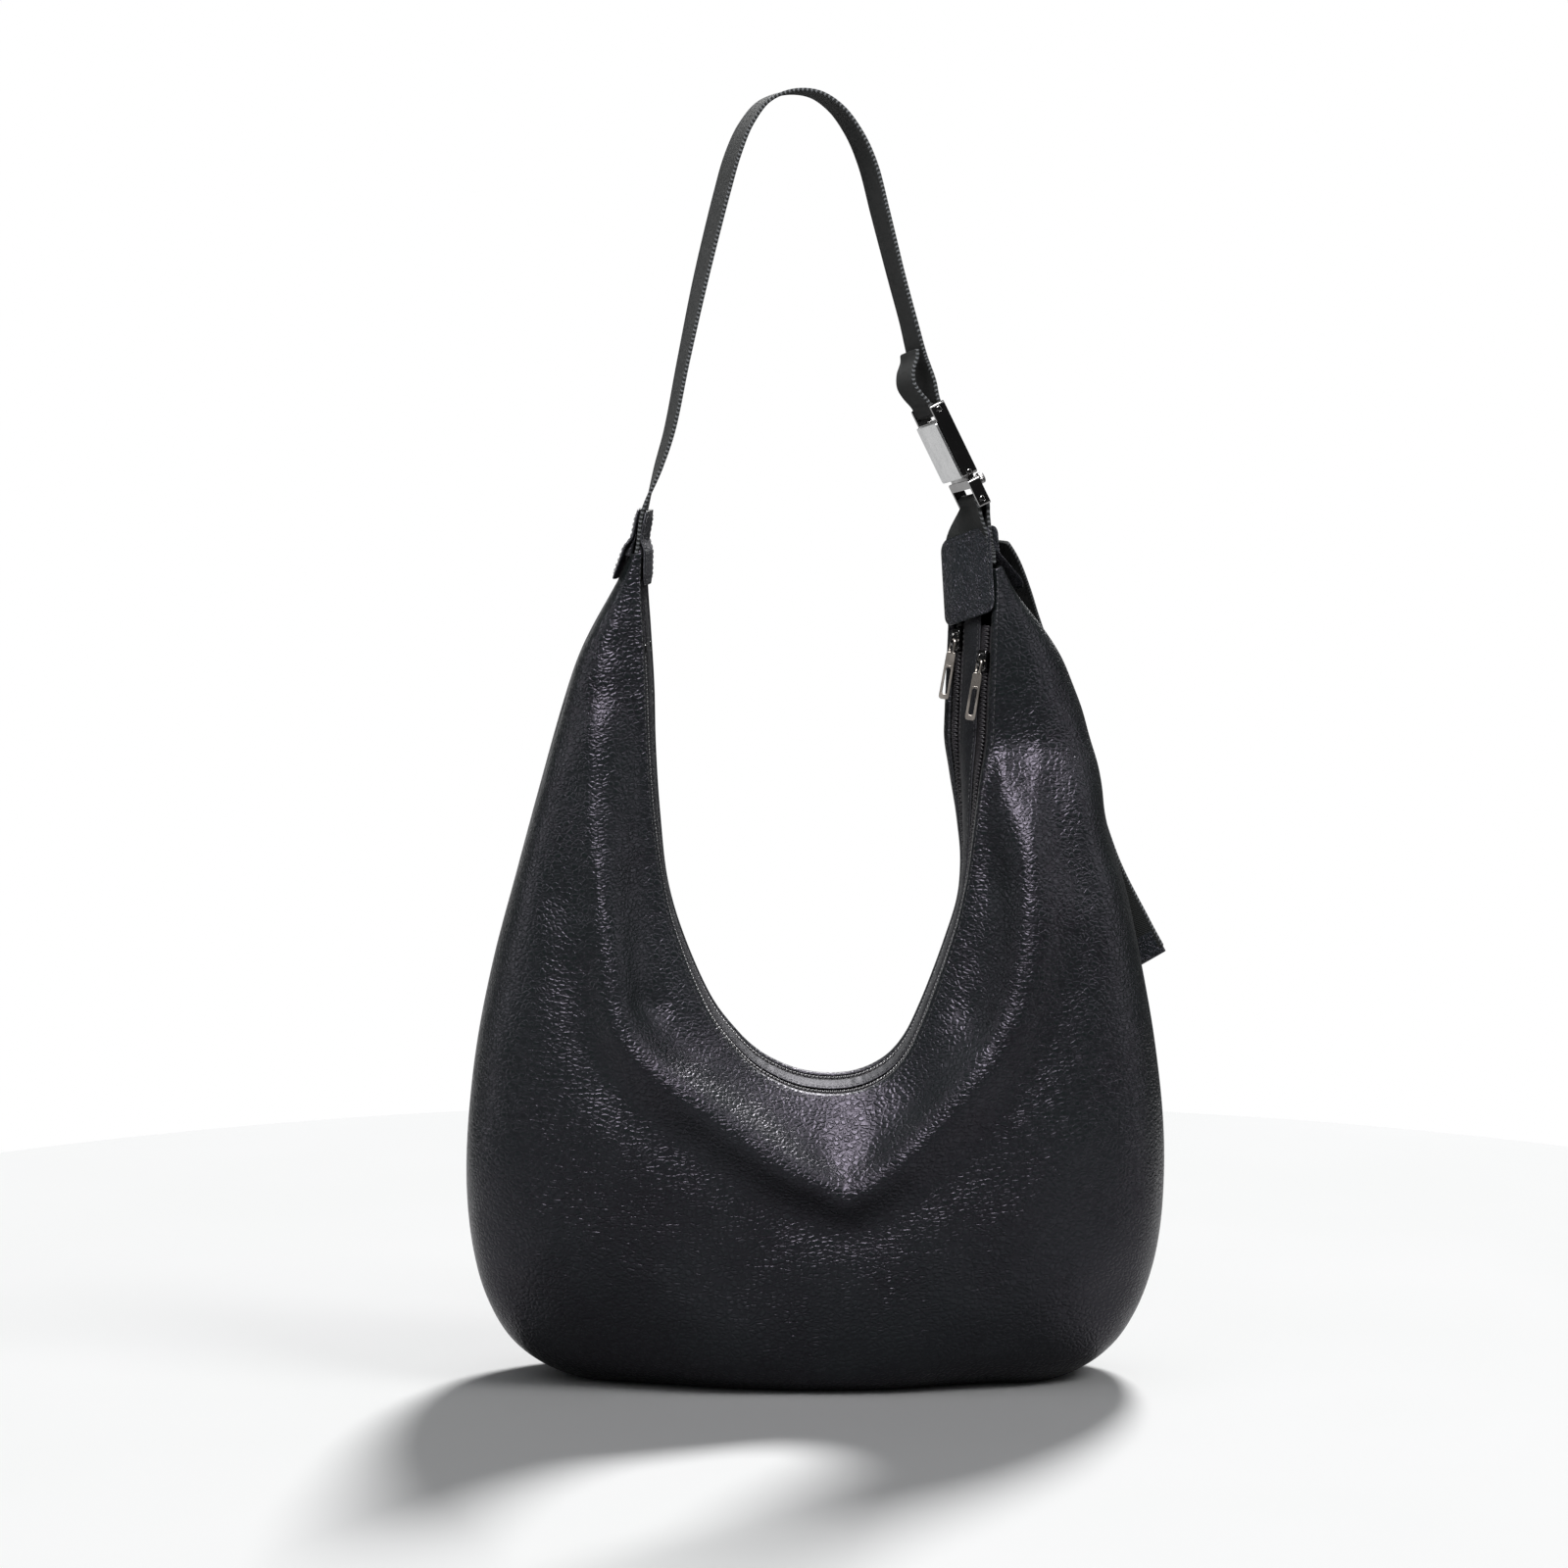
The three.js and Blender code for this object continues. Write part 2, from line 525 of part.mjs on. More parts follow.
const wide = (x, z = 0) => v3(x, -1, z);
const half = WEBBING_WIDTH / 2;
const STRAP_LINE = [
  [-90.2, 462, -0.03], [-84, 484.5, 0.03], [-77, 504, 0.12], [-69.5, 541, 0.15], [-60, 585, 0.2],
  [-49, 629, 0.22], [-43.5, 648, 0.22], [-36.5, 664, 0.2], [-27, 675.5, 0.18], [-14, 680.5, 0.16],
  [-1, 679.5, 0.16], [10, 672.5, 0.18], [19.5, 660, 0.2], [27, 643.5, 0.22], [34, 617, 0.22],
  [41.5, 585, 0.2], [47, 560, 0.2],
];
const strapPoints = STRAP_LINE.map(([x, z, turn]) => ({ at: v3(x, 0, z), wide: wide(turn), half }));
const legX = -(BAR.radius + 0.35 + WEBBING / 2);
const bucklesWide = v3(0, -1, 0).transformDirection(buckleFrame);
for (const z of [TOP_BAR_Z + 18, TOP_BAR_Z + 5]) {
  strapPoints.push({ at: inBuckle(legX, 0, z), wide: bucklesWide, half });
}
const topLoop = barLoop(TOP_BAR_Z, 1, [6, 27]).applyMatrix4(buckleFrame);
const shoulder = join(webbing(strapPoints, 50), topLoop);
const leftEnd = cut(box(-110, -70, -30, 30, 440, STRAP_PIVOT_Z), swingDisc(-111, -69, STRAP_CLEAR.left));
add('shoulder_webbing', cut(shoulder, leftEnd), 'webbing');

const lowLoop = barLoop(LOW_BAR_Z, -1, [13, 13]).applyMatrix4(buckleFrame);
const rightEnd = cut(box(50, 120, -30, 30, 430, STRAP_PIVOT_Z), swingDisc(49, 121, STRAP_CLEAR.right));
add('adjusting_webbing', cut(lowLoop, rightEnd), 'webbing');

const TAIL_LINE = [
  [87, 8, 447, 0.62, -0.77, 0.12],
  [93, 16, 437, 0.68, -0.72, 0.08],
  [98, 28, 422, 0.8, -0.58, 0.04],
  [104, 40, 402, 0.87, -0.48, 0],
  [113, 48, 372, 0.93, -0.36, 0],
  [122, 52, 345, 0.93, -0.36, 0],
  [131, 51, 318, 0.92, -0.38, 0],
  [149, 45, 265, 0.9, -0.44, 0],
  [166, 38, 232, 0.88, -0.48, 0],
  [174.5, 35, 217, 0.87, -0.5, 0],
];
const tailPoints = TAIL_LINE.map(([x, y, z, ...w]) => ({ at: v3(x, y, z), wide: v3(...w), half }));
add('tail_webbing', webbing(tailPoints, 28), 'webbing');
const tailEnd = tailPoints[tailPoints.length - 1];
const tailAlong = tailEnd.at.clone().sub(tailPoints[tailPoints.length - 2].at).normalize();
const capFrame = frameAt(tailEnd.at, tailAlong.clone().negate(), tailEnd.wide);
const CAP = { half: 20, thick: 2, up: 11, down: 2.4 };
const cap = roundedPlate(-CAP.thick, CAP.thick, CAP.half, -CAP.down, CAP.up, 1.2);
const capSlot = box(-WEBBING / 2 - 0.4, WEBBING / 2 + 0.4, -half - GAP, half + GAP, -GAP, CAP.up + 2);
add('tail_cap', cut(cap, capSlot), 'tab', capFrame);

// ---------- buckle ----------
const { half: wideY, high, thick } = BUCKLE;
const OPEN = 19.6; // half width of the gaps that the bars cross
const LEVER_PIN = { radius: 0.9, hole: 1.25, length: 20 };
const shell = cut(
  roundedPlate(-thick, thick, wideY, -high, high, 2),
  box(-9, 9, -OPEN, OPEN, TOP_BAR_Z - 5.5, high + 5),
  box(-9, 9, -OPEN, OPEN, -high - 5, LINK_Z + 3.6),
  box(-1.8, 9, -8, 8, -14.3, 9.5),
  rodAlongY(BAR.hole, 50, 0, TOP_BAR_Z),
  rodAlongY(LEVER_PIN.hole, LEVER_PIN.length + 0.6, LEVER.x, LEVER.z),
  rodAlongY(BAR.hole, 50, 0, LINK_Z),
);
add('buckle_shell', shell, 'gunmetal', buckleFrame);
const plateFace = -thick - GAP;
add('buckle_face_plate', roundedPlate(plateFace - 1.2, plateFace, 21.7, -20.8, 11.5, 1.5), 'plate', buckleFrame);
add('top_bar', rodAlongY(BAR.radius, BAR.length, 0, TOP_BAR_Z), 'gunmetal', buckleFrame);

const leverRing = new THREE.Shape();
leverRing.absellipse(0, -4.5, 6.6, 9.3, 0, 2 * Math.PI);
const leverHole = new THREE.Path();
leverHole.absellipse(0, -5.5, 3.6, 6, 0, 2 * Math.PI, true);
leverRing.holes.push(leverHole);
const lever = cut(
  join(
    acrossX(leverRing, 3, 6, 9),
    rodAlongY(2.3, 9, LEVER.x, LEVER.z),
    box(2.6, 5.4, -4.5, 4.5, 1.6, LEVER.z),
  ),
  rodAlongY(LEVER_PIN.hole, 20, LEVER.x, LEVER.z),
);
add('release_lever', lever, 'gunmetal', buckleFrame);
add('lever_pin', rodAlongY(LEVER_PIN.radius, LEVER_PIN.length, LEVER.x, LEVER.z), 'gunmetal', buckleFrame);
const spring = cut(rodAlongY(1.9, 2.6, LEVER.x, LEVER.z), rodAlongY(LEVER_PIN.hole, 4, LEVER.x, LEVER.z));
add('lever_spring', spring.translate(0, 6.2, 0), 'pull', buckleFrame);

// Adjuster frame on the link pin, open at the bottom where its bar goes across
const CAM_PIN = { radius: 0.7, hole: 1, length: 25 };
const FRAME_TOP = LINK_Z - 4;
const frameBody = cut(
  join(
    roundedPlate(-3.2, 3.2, wideY, -38.5, FRAME_TOP, 1.5),
    box(-1.6, 1.6, -OPEN + 0.4, OPEN - 0.4, FRAME_TOP - 1, LINK_Z),
    rodAlongY(3, 2 * OPEN - 0.8, 0, LINK_Z),
    box(3, 6.4, 10, 12.4, CAM.z - 1.8, CAM.z + 1.8),
    box(3, 6.4, -12.4, -10, CAM.z - 1.8, CAM.z + 1.8),
  ),
  box(-9, 9, -OPEN, OPEN, -45, -27.5),
  rodAlongY(BAR.hole, 50, 0, LOW_BAR_Z),
  rodAlongY(BAR.hole, 50, 0, LINK_Z),
  rodAlongY(CAM_PIN.hole, CAM_PIN.length + 1, CAM.x, CAM.z),
);
add('adjuster_frame', frameBody, 'gunmetal', buckleFrame);
add('link_pin', rodAlongY(BAR.radius, BAR.length, 0, LINK_Z), 'gunmetal', buckleFrame);
add('adjuster_bar', rodAlongY(BAR.radius, BAR.length, 0, LOW_BAR_Z), 'gunmetal', buckleFrame);
const rungs = [-35.6, -32.4, -29.2].map((z) => box(0, 9, -6, 6, z, z + 1.6));
const camBody = join(rodAlongY(1.6, 19.2, CAM.x, CAM.z), box(3.95, 5.2, -9.6, 9.6, -37.5, CAM.z));
add('cam_lever', cut(camBody, rodAlongY(CAM_PIN.hole, 30, CAM.x, CAM.z), ...rungs), 'gunmetal', buckleFrame);
add('cam_pin', rodAlongY(CAM_PIN.radius, CAM_PIN.length, CAM.x, CAM.z), 'gunmetal', buckleFrame);
const stud = new THREE.CylinderGeometry(3.1, 3.1, 3.4, 14).rotateZ(Math.PI / 2);
add('lock_stud', stud.translate(5.2, -16.3, -25), 'gunmetal', buckleFrame);

bag.position.set(...SHIFT);
bag.updateMatrixWorld(true);
Object.assign(report, {
  topBar: inBuckle(0, 0, TOP_BAR_Z),
  lever: inBuckle(LEVER.x, 0, LEVER.z),
  link: inBuckle(0, 0, LINK_Z),
  cam: inBuckle(CAM.x, 0, CAM.z),
  buckleY: v3(0, 1, 0).transformDirection(buckleFrame),
  tailTop: tailPoints[0].at,
});
export default bag;
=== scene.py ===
import math

import bmesh
import bpy
import numpy as np
from mathutils import Matrix, Vector, noise


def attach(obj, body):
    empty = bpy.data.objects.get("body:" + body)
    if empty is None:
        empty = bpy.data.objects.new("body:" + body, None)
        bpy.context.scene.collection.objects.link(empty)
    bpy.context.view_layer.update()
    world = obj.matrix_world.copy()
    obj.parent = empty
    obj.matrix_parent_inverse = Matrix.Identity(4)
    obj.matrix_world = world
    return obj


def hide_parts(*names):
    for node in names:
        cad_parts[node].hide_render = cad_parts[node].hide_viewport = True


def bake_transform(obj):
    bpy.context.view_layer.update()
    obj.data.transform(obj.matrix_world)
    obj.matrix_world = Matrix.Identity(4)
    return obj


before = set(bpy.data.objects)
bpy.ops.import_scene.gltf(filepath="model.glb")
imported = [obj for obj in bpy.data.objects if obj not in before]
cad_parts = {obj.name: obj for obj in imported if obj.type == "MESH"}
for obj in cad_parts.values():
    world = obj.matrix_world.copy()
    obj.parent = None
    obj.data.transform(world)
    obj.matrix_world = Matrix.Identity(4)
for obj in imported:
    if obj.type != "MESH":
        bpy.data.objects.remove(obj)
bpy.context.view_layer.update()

MM = 0.001
SHIFT = np.array([-2.54, 0.0, 0.0])  # from the stations' origin to the frame's

# mouth x, z; seam x, z; half depth of the band; share at the fold; half depth at the fold;
# squareness; twist of the band; seam set forward; twist at the seam
STATIONS = np.array([
    [-90, 441, -97.5, 440, 18.5, 0.4, 19.5, 2.3, 4, 0, 4],
    [-90.5, 424, -104, 425, 20, 0.45, 21.5, 2.3, 4, 2, 4],
    [-89, 398, -122, 393, 21.5, 0.55, 26, 2.3, 4, 5, 4],
    [-87.5, 369, -133, 361, 23, 0.58, 31, 2.3, 4, 7, 4],
    [-86.5, 336, -145, 319, 24.5, 0.5, 37, 2.4, 3, 8, 3],
    [-84, 300, -158, 272, 26, 0.4, 43, 2.4, 2, 8, 2],
    [-79, 262, -171, 224, 28, 0.34, 48, 2.4, 0, 8, 0],
    [-70, 231, -181, 172, 30.5, 0.31, 53, 2.5, 0, 8, 0],
    [-56, 199, -186, 112, 33, 0.24, 58, 2.7, 0, 6, 0],
    [-42, 180, -181, 60, 35, 0.17, 61, 2.8, 0, 3, 0],
    [-31, 169.5, -163, 20, 36, 0.145, 61, 2.8, 0, 0, 0],
    [-20, 163, -128, -0.5, 36.5, 0.145, 61, 3, 0, 0, 0],
    [-10, 159, -85, -1, 37, 0.175, 62, 4.2, 0, 0, 0],
    [0, 157, -42, -1.2, 37, 0.215, 62, 6.5, 0, 0, 0],
    [11, 156.5, 2, -1.2, 37, 0.28, 62, 8, 0, 0, 0],
    [22, 158, 44, -1.2, 37, 0.28, 62, 6.5, 0, 0, 0],
    [32, 162, 88, -1, 36.5, 0.22, 62, 4.2, 0, 0, 0],
    [41, 168.5, 130, -0.5, 36, 0.175, 61, 3, 0, 0, 0],
    [49, 179, 164, 22, 35, 0.17, 61, 2.8, 0, 0, 0],
    [56, 194, 182, 66, 33.5, 0.19, 60, 2.8, 0, 3, 0],
    [63, 212, 186, 122, 31.5, 0.24, 57, 2.6, 0, 6, 0],
    [70, 232, 181, 176, 30, 0.3, 52, 2.5, 0, 8, 0],
    [76, 252, 173, 222, 28, 0.33, 48, 2.4, 0, 8, 0],
    [79.2, 274, 164, 264, 26, 0.36, 44, 2.4, 3, 6, 2],
    [79.7, 298, 154, 298, 24.5, 0.38, 40, 2.4, 10, 4, 6],
    [79.6, 322, 152.2, 320, 23, 0.38, 36, 2.4, 21, 2, 12],
    [80.4, 345, 146.5, 345, 21.5, 0.38, 31, 2.3, 34, 0, 19],
    [81.1, 365, 141, 365, 21.5, 0.4, 29, 2.3, 34, 0, 26],
    [81.9, 385, 132.3, 386, 21.5, 0.42, 26, 2.3, 34, 0, 31],
    [82.6, 405, 115.5, 407, 21.5, 0.45, 23, 2.3, 34, 0, 34],
    [82.7, 420, 99.5, 423, 20.5, 0.45, 21.5, 2.3, 38, 0, 38],
    [82.3, 432, 89, 434, 19, 0.4, 20, 2.3, 40, 0, 40],
])
LAST = len(STATIONS) - 1
CURVED_COLUMNS = 4  # mouth and seam follow a Catmull-Rom curve, the rest rises without overshoot
HEM = 5.0
LEATHER = 2.0
SEAM_GAP = 0.25
STRIP_SHARE = 0.36
TAPE_LEVEL = -2.65
SIDES = (("front", 1), ("rear", -1))


# ---------- curves and sections ----------
def rising_slopes(values):
    """Slopes at the stations for a curve that never overshoots them."""
    steps = np.diff(values)
    slopes = np.zeros(len(values))
    before, after = steps[:-1], steps[1:]
    same = before * after > 0
    total = np.where(same, before + after, 1)
    slopes[1:-1] = np.where(same, 2 * before * after / total, 0)
    slopes[0], slopes[-1] = steps[0], steps[-1]
    return slopes


def catmull_slopes(values):
    padded = np.concatenate([values[:1], values, values[-1:]])
    return (padded[2:] - padded[:-2]) / 2


SLOPES = np.array([
    (catmull_slopes if c < CURVED_COLUMNS else rising_slopes)(STATIONS[:, c])
    for c in range(STATIONS.shape[1])
])


def hermite(t, a, b, slope_a, slope_b):
    """Cubic from a to b with the given slopes at its ends."""
    return (
        (2 * t**3 - 3 * t**2 + 1) * a + (t**3 - 2 * t**2 + t) * slope_a
        + (3 * t**2 - 2 * t**3) * b + (t**3 - t**2) * slope_b
    )


def station(column, u):
    i = np.minimum(np.floor(u).astype(int), LAST - 1)
    ends, slopes = STATIONS[:, column], SLOPES[column]
    return hermite(u - i, ends[i], ends[i + 1], slopes[i], slopes[i + 1])


def unit(v):
    return v / np.linalg.norm(v, axis=-1, keepdims=True)


def turned(v, axis, angle):
    """v turned about unit axis by angle, on arrays of vectors."""
    c, s = np.cos(angle)[..., None], np.sin(angle)[..., None]
    return v * c + np.cross(axis, v) * s + axis * (np.sum(v * axis, -1, keepdims=True) * (1 - c))


def smoothstep(t):
    t = np.clip(t, 0, 1)
    return t * t * (3 - 2 * t)


class Band:
    """Frames of the mouth band at the stations u."""

    def __init__(self, u):
        def point(w):
            return np.stack([station(0, w), 0 * w, station(1, w)], -1)

        step = 0.02
        self.u = u
        self.origin = point(u)
        self.along = unit(point(np.minimum(u + step, LAST)) - point(np.maximum(u - step, 0)))
        self.twist = np.radians(station(8, u))
        self.seam_twist = np.radians(station(10, u))
        flat_out = np.stack([-self.along[:, 2], 0 * u, self.along[:, 0]], -1)
        self.out = turned(flat_out, self.along, self.twist)
        to_front = np.broadcast_to(np.array([0.0, -1.0, 0.0]), flat_out.shape)
        self.front = turned(to_front, self.along, self.twist)
        self.reach = np.stack([station(2, u), 0 * u, station(3, u)], -1) - self.origin
        self.length = np.linalg.norm(self.reach, axis=-1)
        self.half = station(4, u)

    def at(self, across, level):
        """Points of the band; across and level are arrays per station, or (stations, many)."""
        across = np.atleast_2d(np.asarray(across, float).T).T
        level = np.atleast_2d(np.asarray(level, float).T).T
        across, level = np.broadcast_arrays(across, level)
        return (
            self.origin[:, None] + self.front[:, None] * across[..., None]
            + self.out[:, None] * level[..., None]
        )

    def section(self, share, depth):
        """Points of the skin; share of the way out and depth to the front, (stations, many)."""
        local = self.reach[:, None] * share[..., None]
        local[..., 1] -= depth
        twist = self.twist[:, None] + (self.seam_twist - self.twist)[:, None] * smoothstep(share)
        axis = np.broadcast_to(self.along[:, None], local.shape)
        points = turned(local, axis, twist) + self.origin[:, None]
        points[..., 2] = np.maximum(points[..., 2], 0)
        return points

    def zip_centre(self):
        return (STRIP_SHARE * self.half + self.half - HEM) / 2


def relax(values, times, axis=0):
    """Smooths along an axis with the ends held."""
    values = np.moveaxis(values, axis, 0).copy()
    for _ in range(times):
        values[1:-1] += 0.25 * (values[:-2] + values[2:] - 2 * values[1:-1])
    return np.moveaxis(values, 0, axis)


def skin_profile(band, side, many, seam_gap):
    """Shares and depths from the band's edge over the fold to the seam, evenly spaced."""
    u = band.u[:, None]
    fold, deep, power = station(5, u), station(6, u), 2 / station(7, u)
    seam = side * station(9, u) + seam_gap
    t = np.linspace(0, 1, 40)[None, :-1]
    angle = np.linspace(0, math.pi / 2, 400)[None]
    share = np.hstack([fold * t, fold + (1 - fold) * np.sin(angle) ** power])
    roll = seam + (deep - seam) * np.maximum(np.cos(angle), 0) ** power
    depth = np.hstack([band.half[:, None] + (deep - band.half[:, None]) * t, roll])
    out = share * band.length[:, None]
    steps = np.hypot(np.diff(out, axis=1), np.diff(depth, axis=1))
    run = np.hstack([np.zeros((len(out), 1)), np.cumsum(steps, axis=1)])
    even = np.linspace(0, 1, many)
    out = np.array([np.interp(even * r[-1], r, o) for r, o in zip(run, out)])
    depth = np.array([np.interp(even * r[-1], r, d) for r, d in zip(run, depth)])
    out, depth = relax(out, 4, 1), relax(depth, 4, 1)
    out, depth = relax(out, 6, 0), relax(depth, 6, 0)
    return out / band.length[:, None], side * depth


def grid_normals(grid):
    """Unit normals; times a panel's side they point out of the bag."""
    along = np.gradient(grid, axis=0)
    across = np.gradient(grid, axis=1)
    return unit(np.cross(across, along))


# ---------- meshes ----------
def make_object(name, points, faces, material, uvs=None, levels=0):
    """Object from points in millimetres; turned outwards; uvs are per point."""
    points = (np.asarray(points, float).reshape(-1, 3) + SHIFT) * MM
    mesh = bpy.data.meshes.new(name)
    mesh.from_pydata(points.tolist(), [], [tuple(int(i) for i in f) for f in faces])
    if uvs is not None:
        layer = mesh.uv_layers.new(name="run")
        corner = np.zeros(len(mesh.loops), int)
        mesh.loops.foreach_get("vertex_index", corner)
        layer.data.foreach_set("uv", np.asarray(uvs, float).reshape(-1, 2)[corner].ravel())
    bm = bmesh.new()
    bm.from_mesh(mesh)
    bmesh.ops.recalc_face_normals(bm, faces=bm.faces)
    bm.to_mesh(mesh)
    bm.free()
    mesh.polygons.foreach_set("use_smooth", [True] * len(mesh.polygons))
    mesh.materials.append(material)
    obj = bpy.data.objects.new(name, mesh)
    bpy.context.scene.collection.objects.link(obj)
    if levels:
        subdivide(obj, levels)
    return obj


def subdivide(obj, levels):
    modifier = obj.modifiers.new("round", "SUBSURF")
    modifier.levels = modifier.render_levels = levels
    return obj


def place(obj, body, slot, *nodes):
    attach(obj, body)
    if nodes:
        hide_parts(*nodes)
    return obj


def grid_faces(n, m, closed=False, first=0):
    i = np.arange(n - 1)[:, None]
    j = np.arange(m if closed else m - 1)[None]
    a = first + i * m + j
    b = first + i * m + (j + 1) % m
    return np.stack([a, b, b + m, a + m], -1).reshape(-1, 4).tolist()


def shell(grid, near, far):
    """Closed sheet between two offsets of a grid: points and faces."""
    n, m, _ = grid.shape
    normals = grid_normals(grid)
    points = np.concatenate([(grid + normals * level).reshape(-1, 3) for level in (near, far)])
    faces = grid_faces(n, m) + [f[::-1] for f in grid_faces(n, m, first=n * m)]
    rim = (
        [i * m for i in range(n)] + [(n - 1) * m + j for j in range(1, m)]
        + [i * m + m - 1 for i in range(n - 2, -1, -1)] + [j for j in range(m - 2, 0, -1)]
    )
    for k, a in enumerate(rim):
        b = rim[(k + 1) % len(rim)]
        faces.append([a, b, b + n * m, a + n * m])
    return points, faces


def tube(rings):
    """Closed body through rings of points (many, around, 3), with flat ends."""
    n, m, _ = rings.shape
    faces = grid_faces(n, m, closed=True)
    faces.append(list(range(m))[::-1])
    faces.append([(n - 1) * m + j for j in range(m)])
    return rings.reshape(-1, 3), faces


def flat_section(half, low, high, across=8, rim=0.0):
    """Outline (w, n) of a flat band with rounded edges; rim thickens its edges."""
    radius, middle = (high - low) / 2, (high + low) / 2
    w = np.linspace(-(half - radius), half - radius, across + 1)
    rise = rim * np.abs(w / half) ** 16
    arc = np.radians([60, 20, -20, -60])
    right = np.stack([half - radius + radius * np.cos(arc), middle + (radius + rim) * np.sin(arc)], -1)
    left = np.stack([-(half - radius) - radius * np.cos(arc), middle - (radius + rim) * np.sin(arc)], -1)
    top = np.stack([w, high + rise], -1)
    bottom = np.stack([w[::-1], low - rise[::-1]], -1)
    return np.concatenate([top, right, bottom, left])


def run_length(points):
    steps = np.linalg.norm(np.diff(points, axis=0), axis=1)
    return np.concatenate([[0], np.cumsum(steps)])


def band_uvs(rings, section):
    """Metres along the rings and across the section."""
    run = run_length(rings.mean(axis=1)) * MM
    return np.stack(np.broadcast_arrays(run[:, None], section[None, :, 0] * MM), -1)


def carried(origins, wides, flats, section):
    """Rings of one section (w, n) carried along frames."""
    return origins[:, None] + wides[:, None] * section[None, :, :1] + flats[:, None] * section[None, :, 1:]


def along_line(s, run, line):
    """Point of a line at the distance s along it."""
    return np.array([np.interp(s, run, line[:, c]) for c in range(3)])


# One bead, two units long and two thick: (place along, size) of the rings between its tips
BEAD_RINGS = ((-0.75, 0.75), (0.0, 1.0), (0.75, 0.75))
BEAD_AROUND = 6


def bead():
    points = []
    for along, size in BEAD_RINGS:
        for k in range(BEAD_AROUND):
            a = 2 * math.pi * k / BEAD_AROUND
            points.append((along, size * math.cos(a), size * math.sin(a)))
    points += [(-1, 0, 0), (1, 0, 0)]
    faces = []
    for r in range(len(BEAD_RINGS) - 1):
        for k in range(BEAD_AROUND):
            a, b = r * BEAD_AROUND + k, r * BEAD_AROUND + (k + 1) % BEAD_AROUND
            faces.append((a, b, b + BEAD_AROUND, a + BEAD_AROUND))
    low, high = len(points) - 2, len(points) - 1
    for k in range(BEAD_AROUND):
        faces.append((low, (k + 1) % BEAD_AROUND, k))
        faces.append((high, 2 * BEAD_AROUND + k, 2 * BEAD_AROUND + (k + 1) % BEAD_AROUND))
    return np.array(points, float), faces


BEAD_POINTS, BEAD_FACES = bead()
STITCH_SLANT = 0.06


def stitches(name, lines, material, pitch=3.2, length=2.4, thick=0.42, lift=0.1):
    """Row of sewn stitches along lines of (points, normals)."""
    points, faces = [], []
    for line, normals in lines:
        run = run_length(line)
        count = max(int(run[-1] / pitch), 1)
        for k in range(count):
            s = run[-1] * (k + 0.5) / count
            ends = [along_line(w, run, line) for w in (s - length / 2, s + length / 2)]
            normal = unit(along_line(s, run, normals))
            along = ends[1] - ends[0]
            size = np.linalg.norm(along)
            if size < 1e-6:
                continue
            along /= size
            side = unit(np.cross(normal, along))
            along = unit(along + side * STITCH_SLANT)
            side = np.cross(normal, along)
            first = len(points) * len(BEAD_POINTS)
            local = BEAD_POINTS * [length / 2, thick / 2, thick / 2]
            place_at = (ends[0] + ends[1]) / 2 + normal * lift
            points.append(place_at + local @ np.stack([along, side, normal]))
            faces += [[first + i for i in f] for f in BEAD_FACES]
    return make_object(name, np.concatenate(points), faces, material)


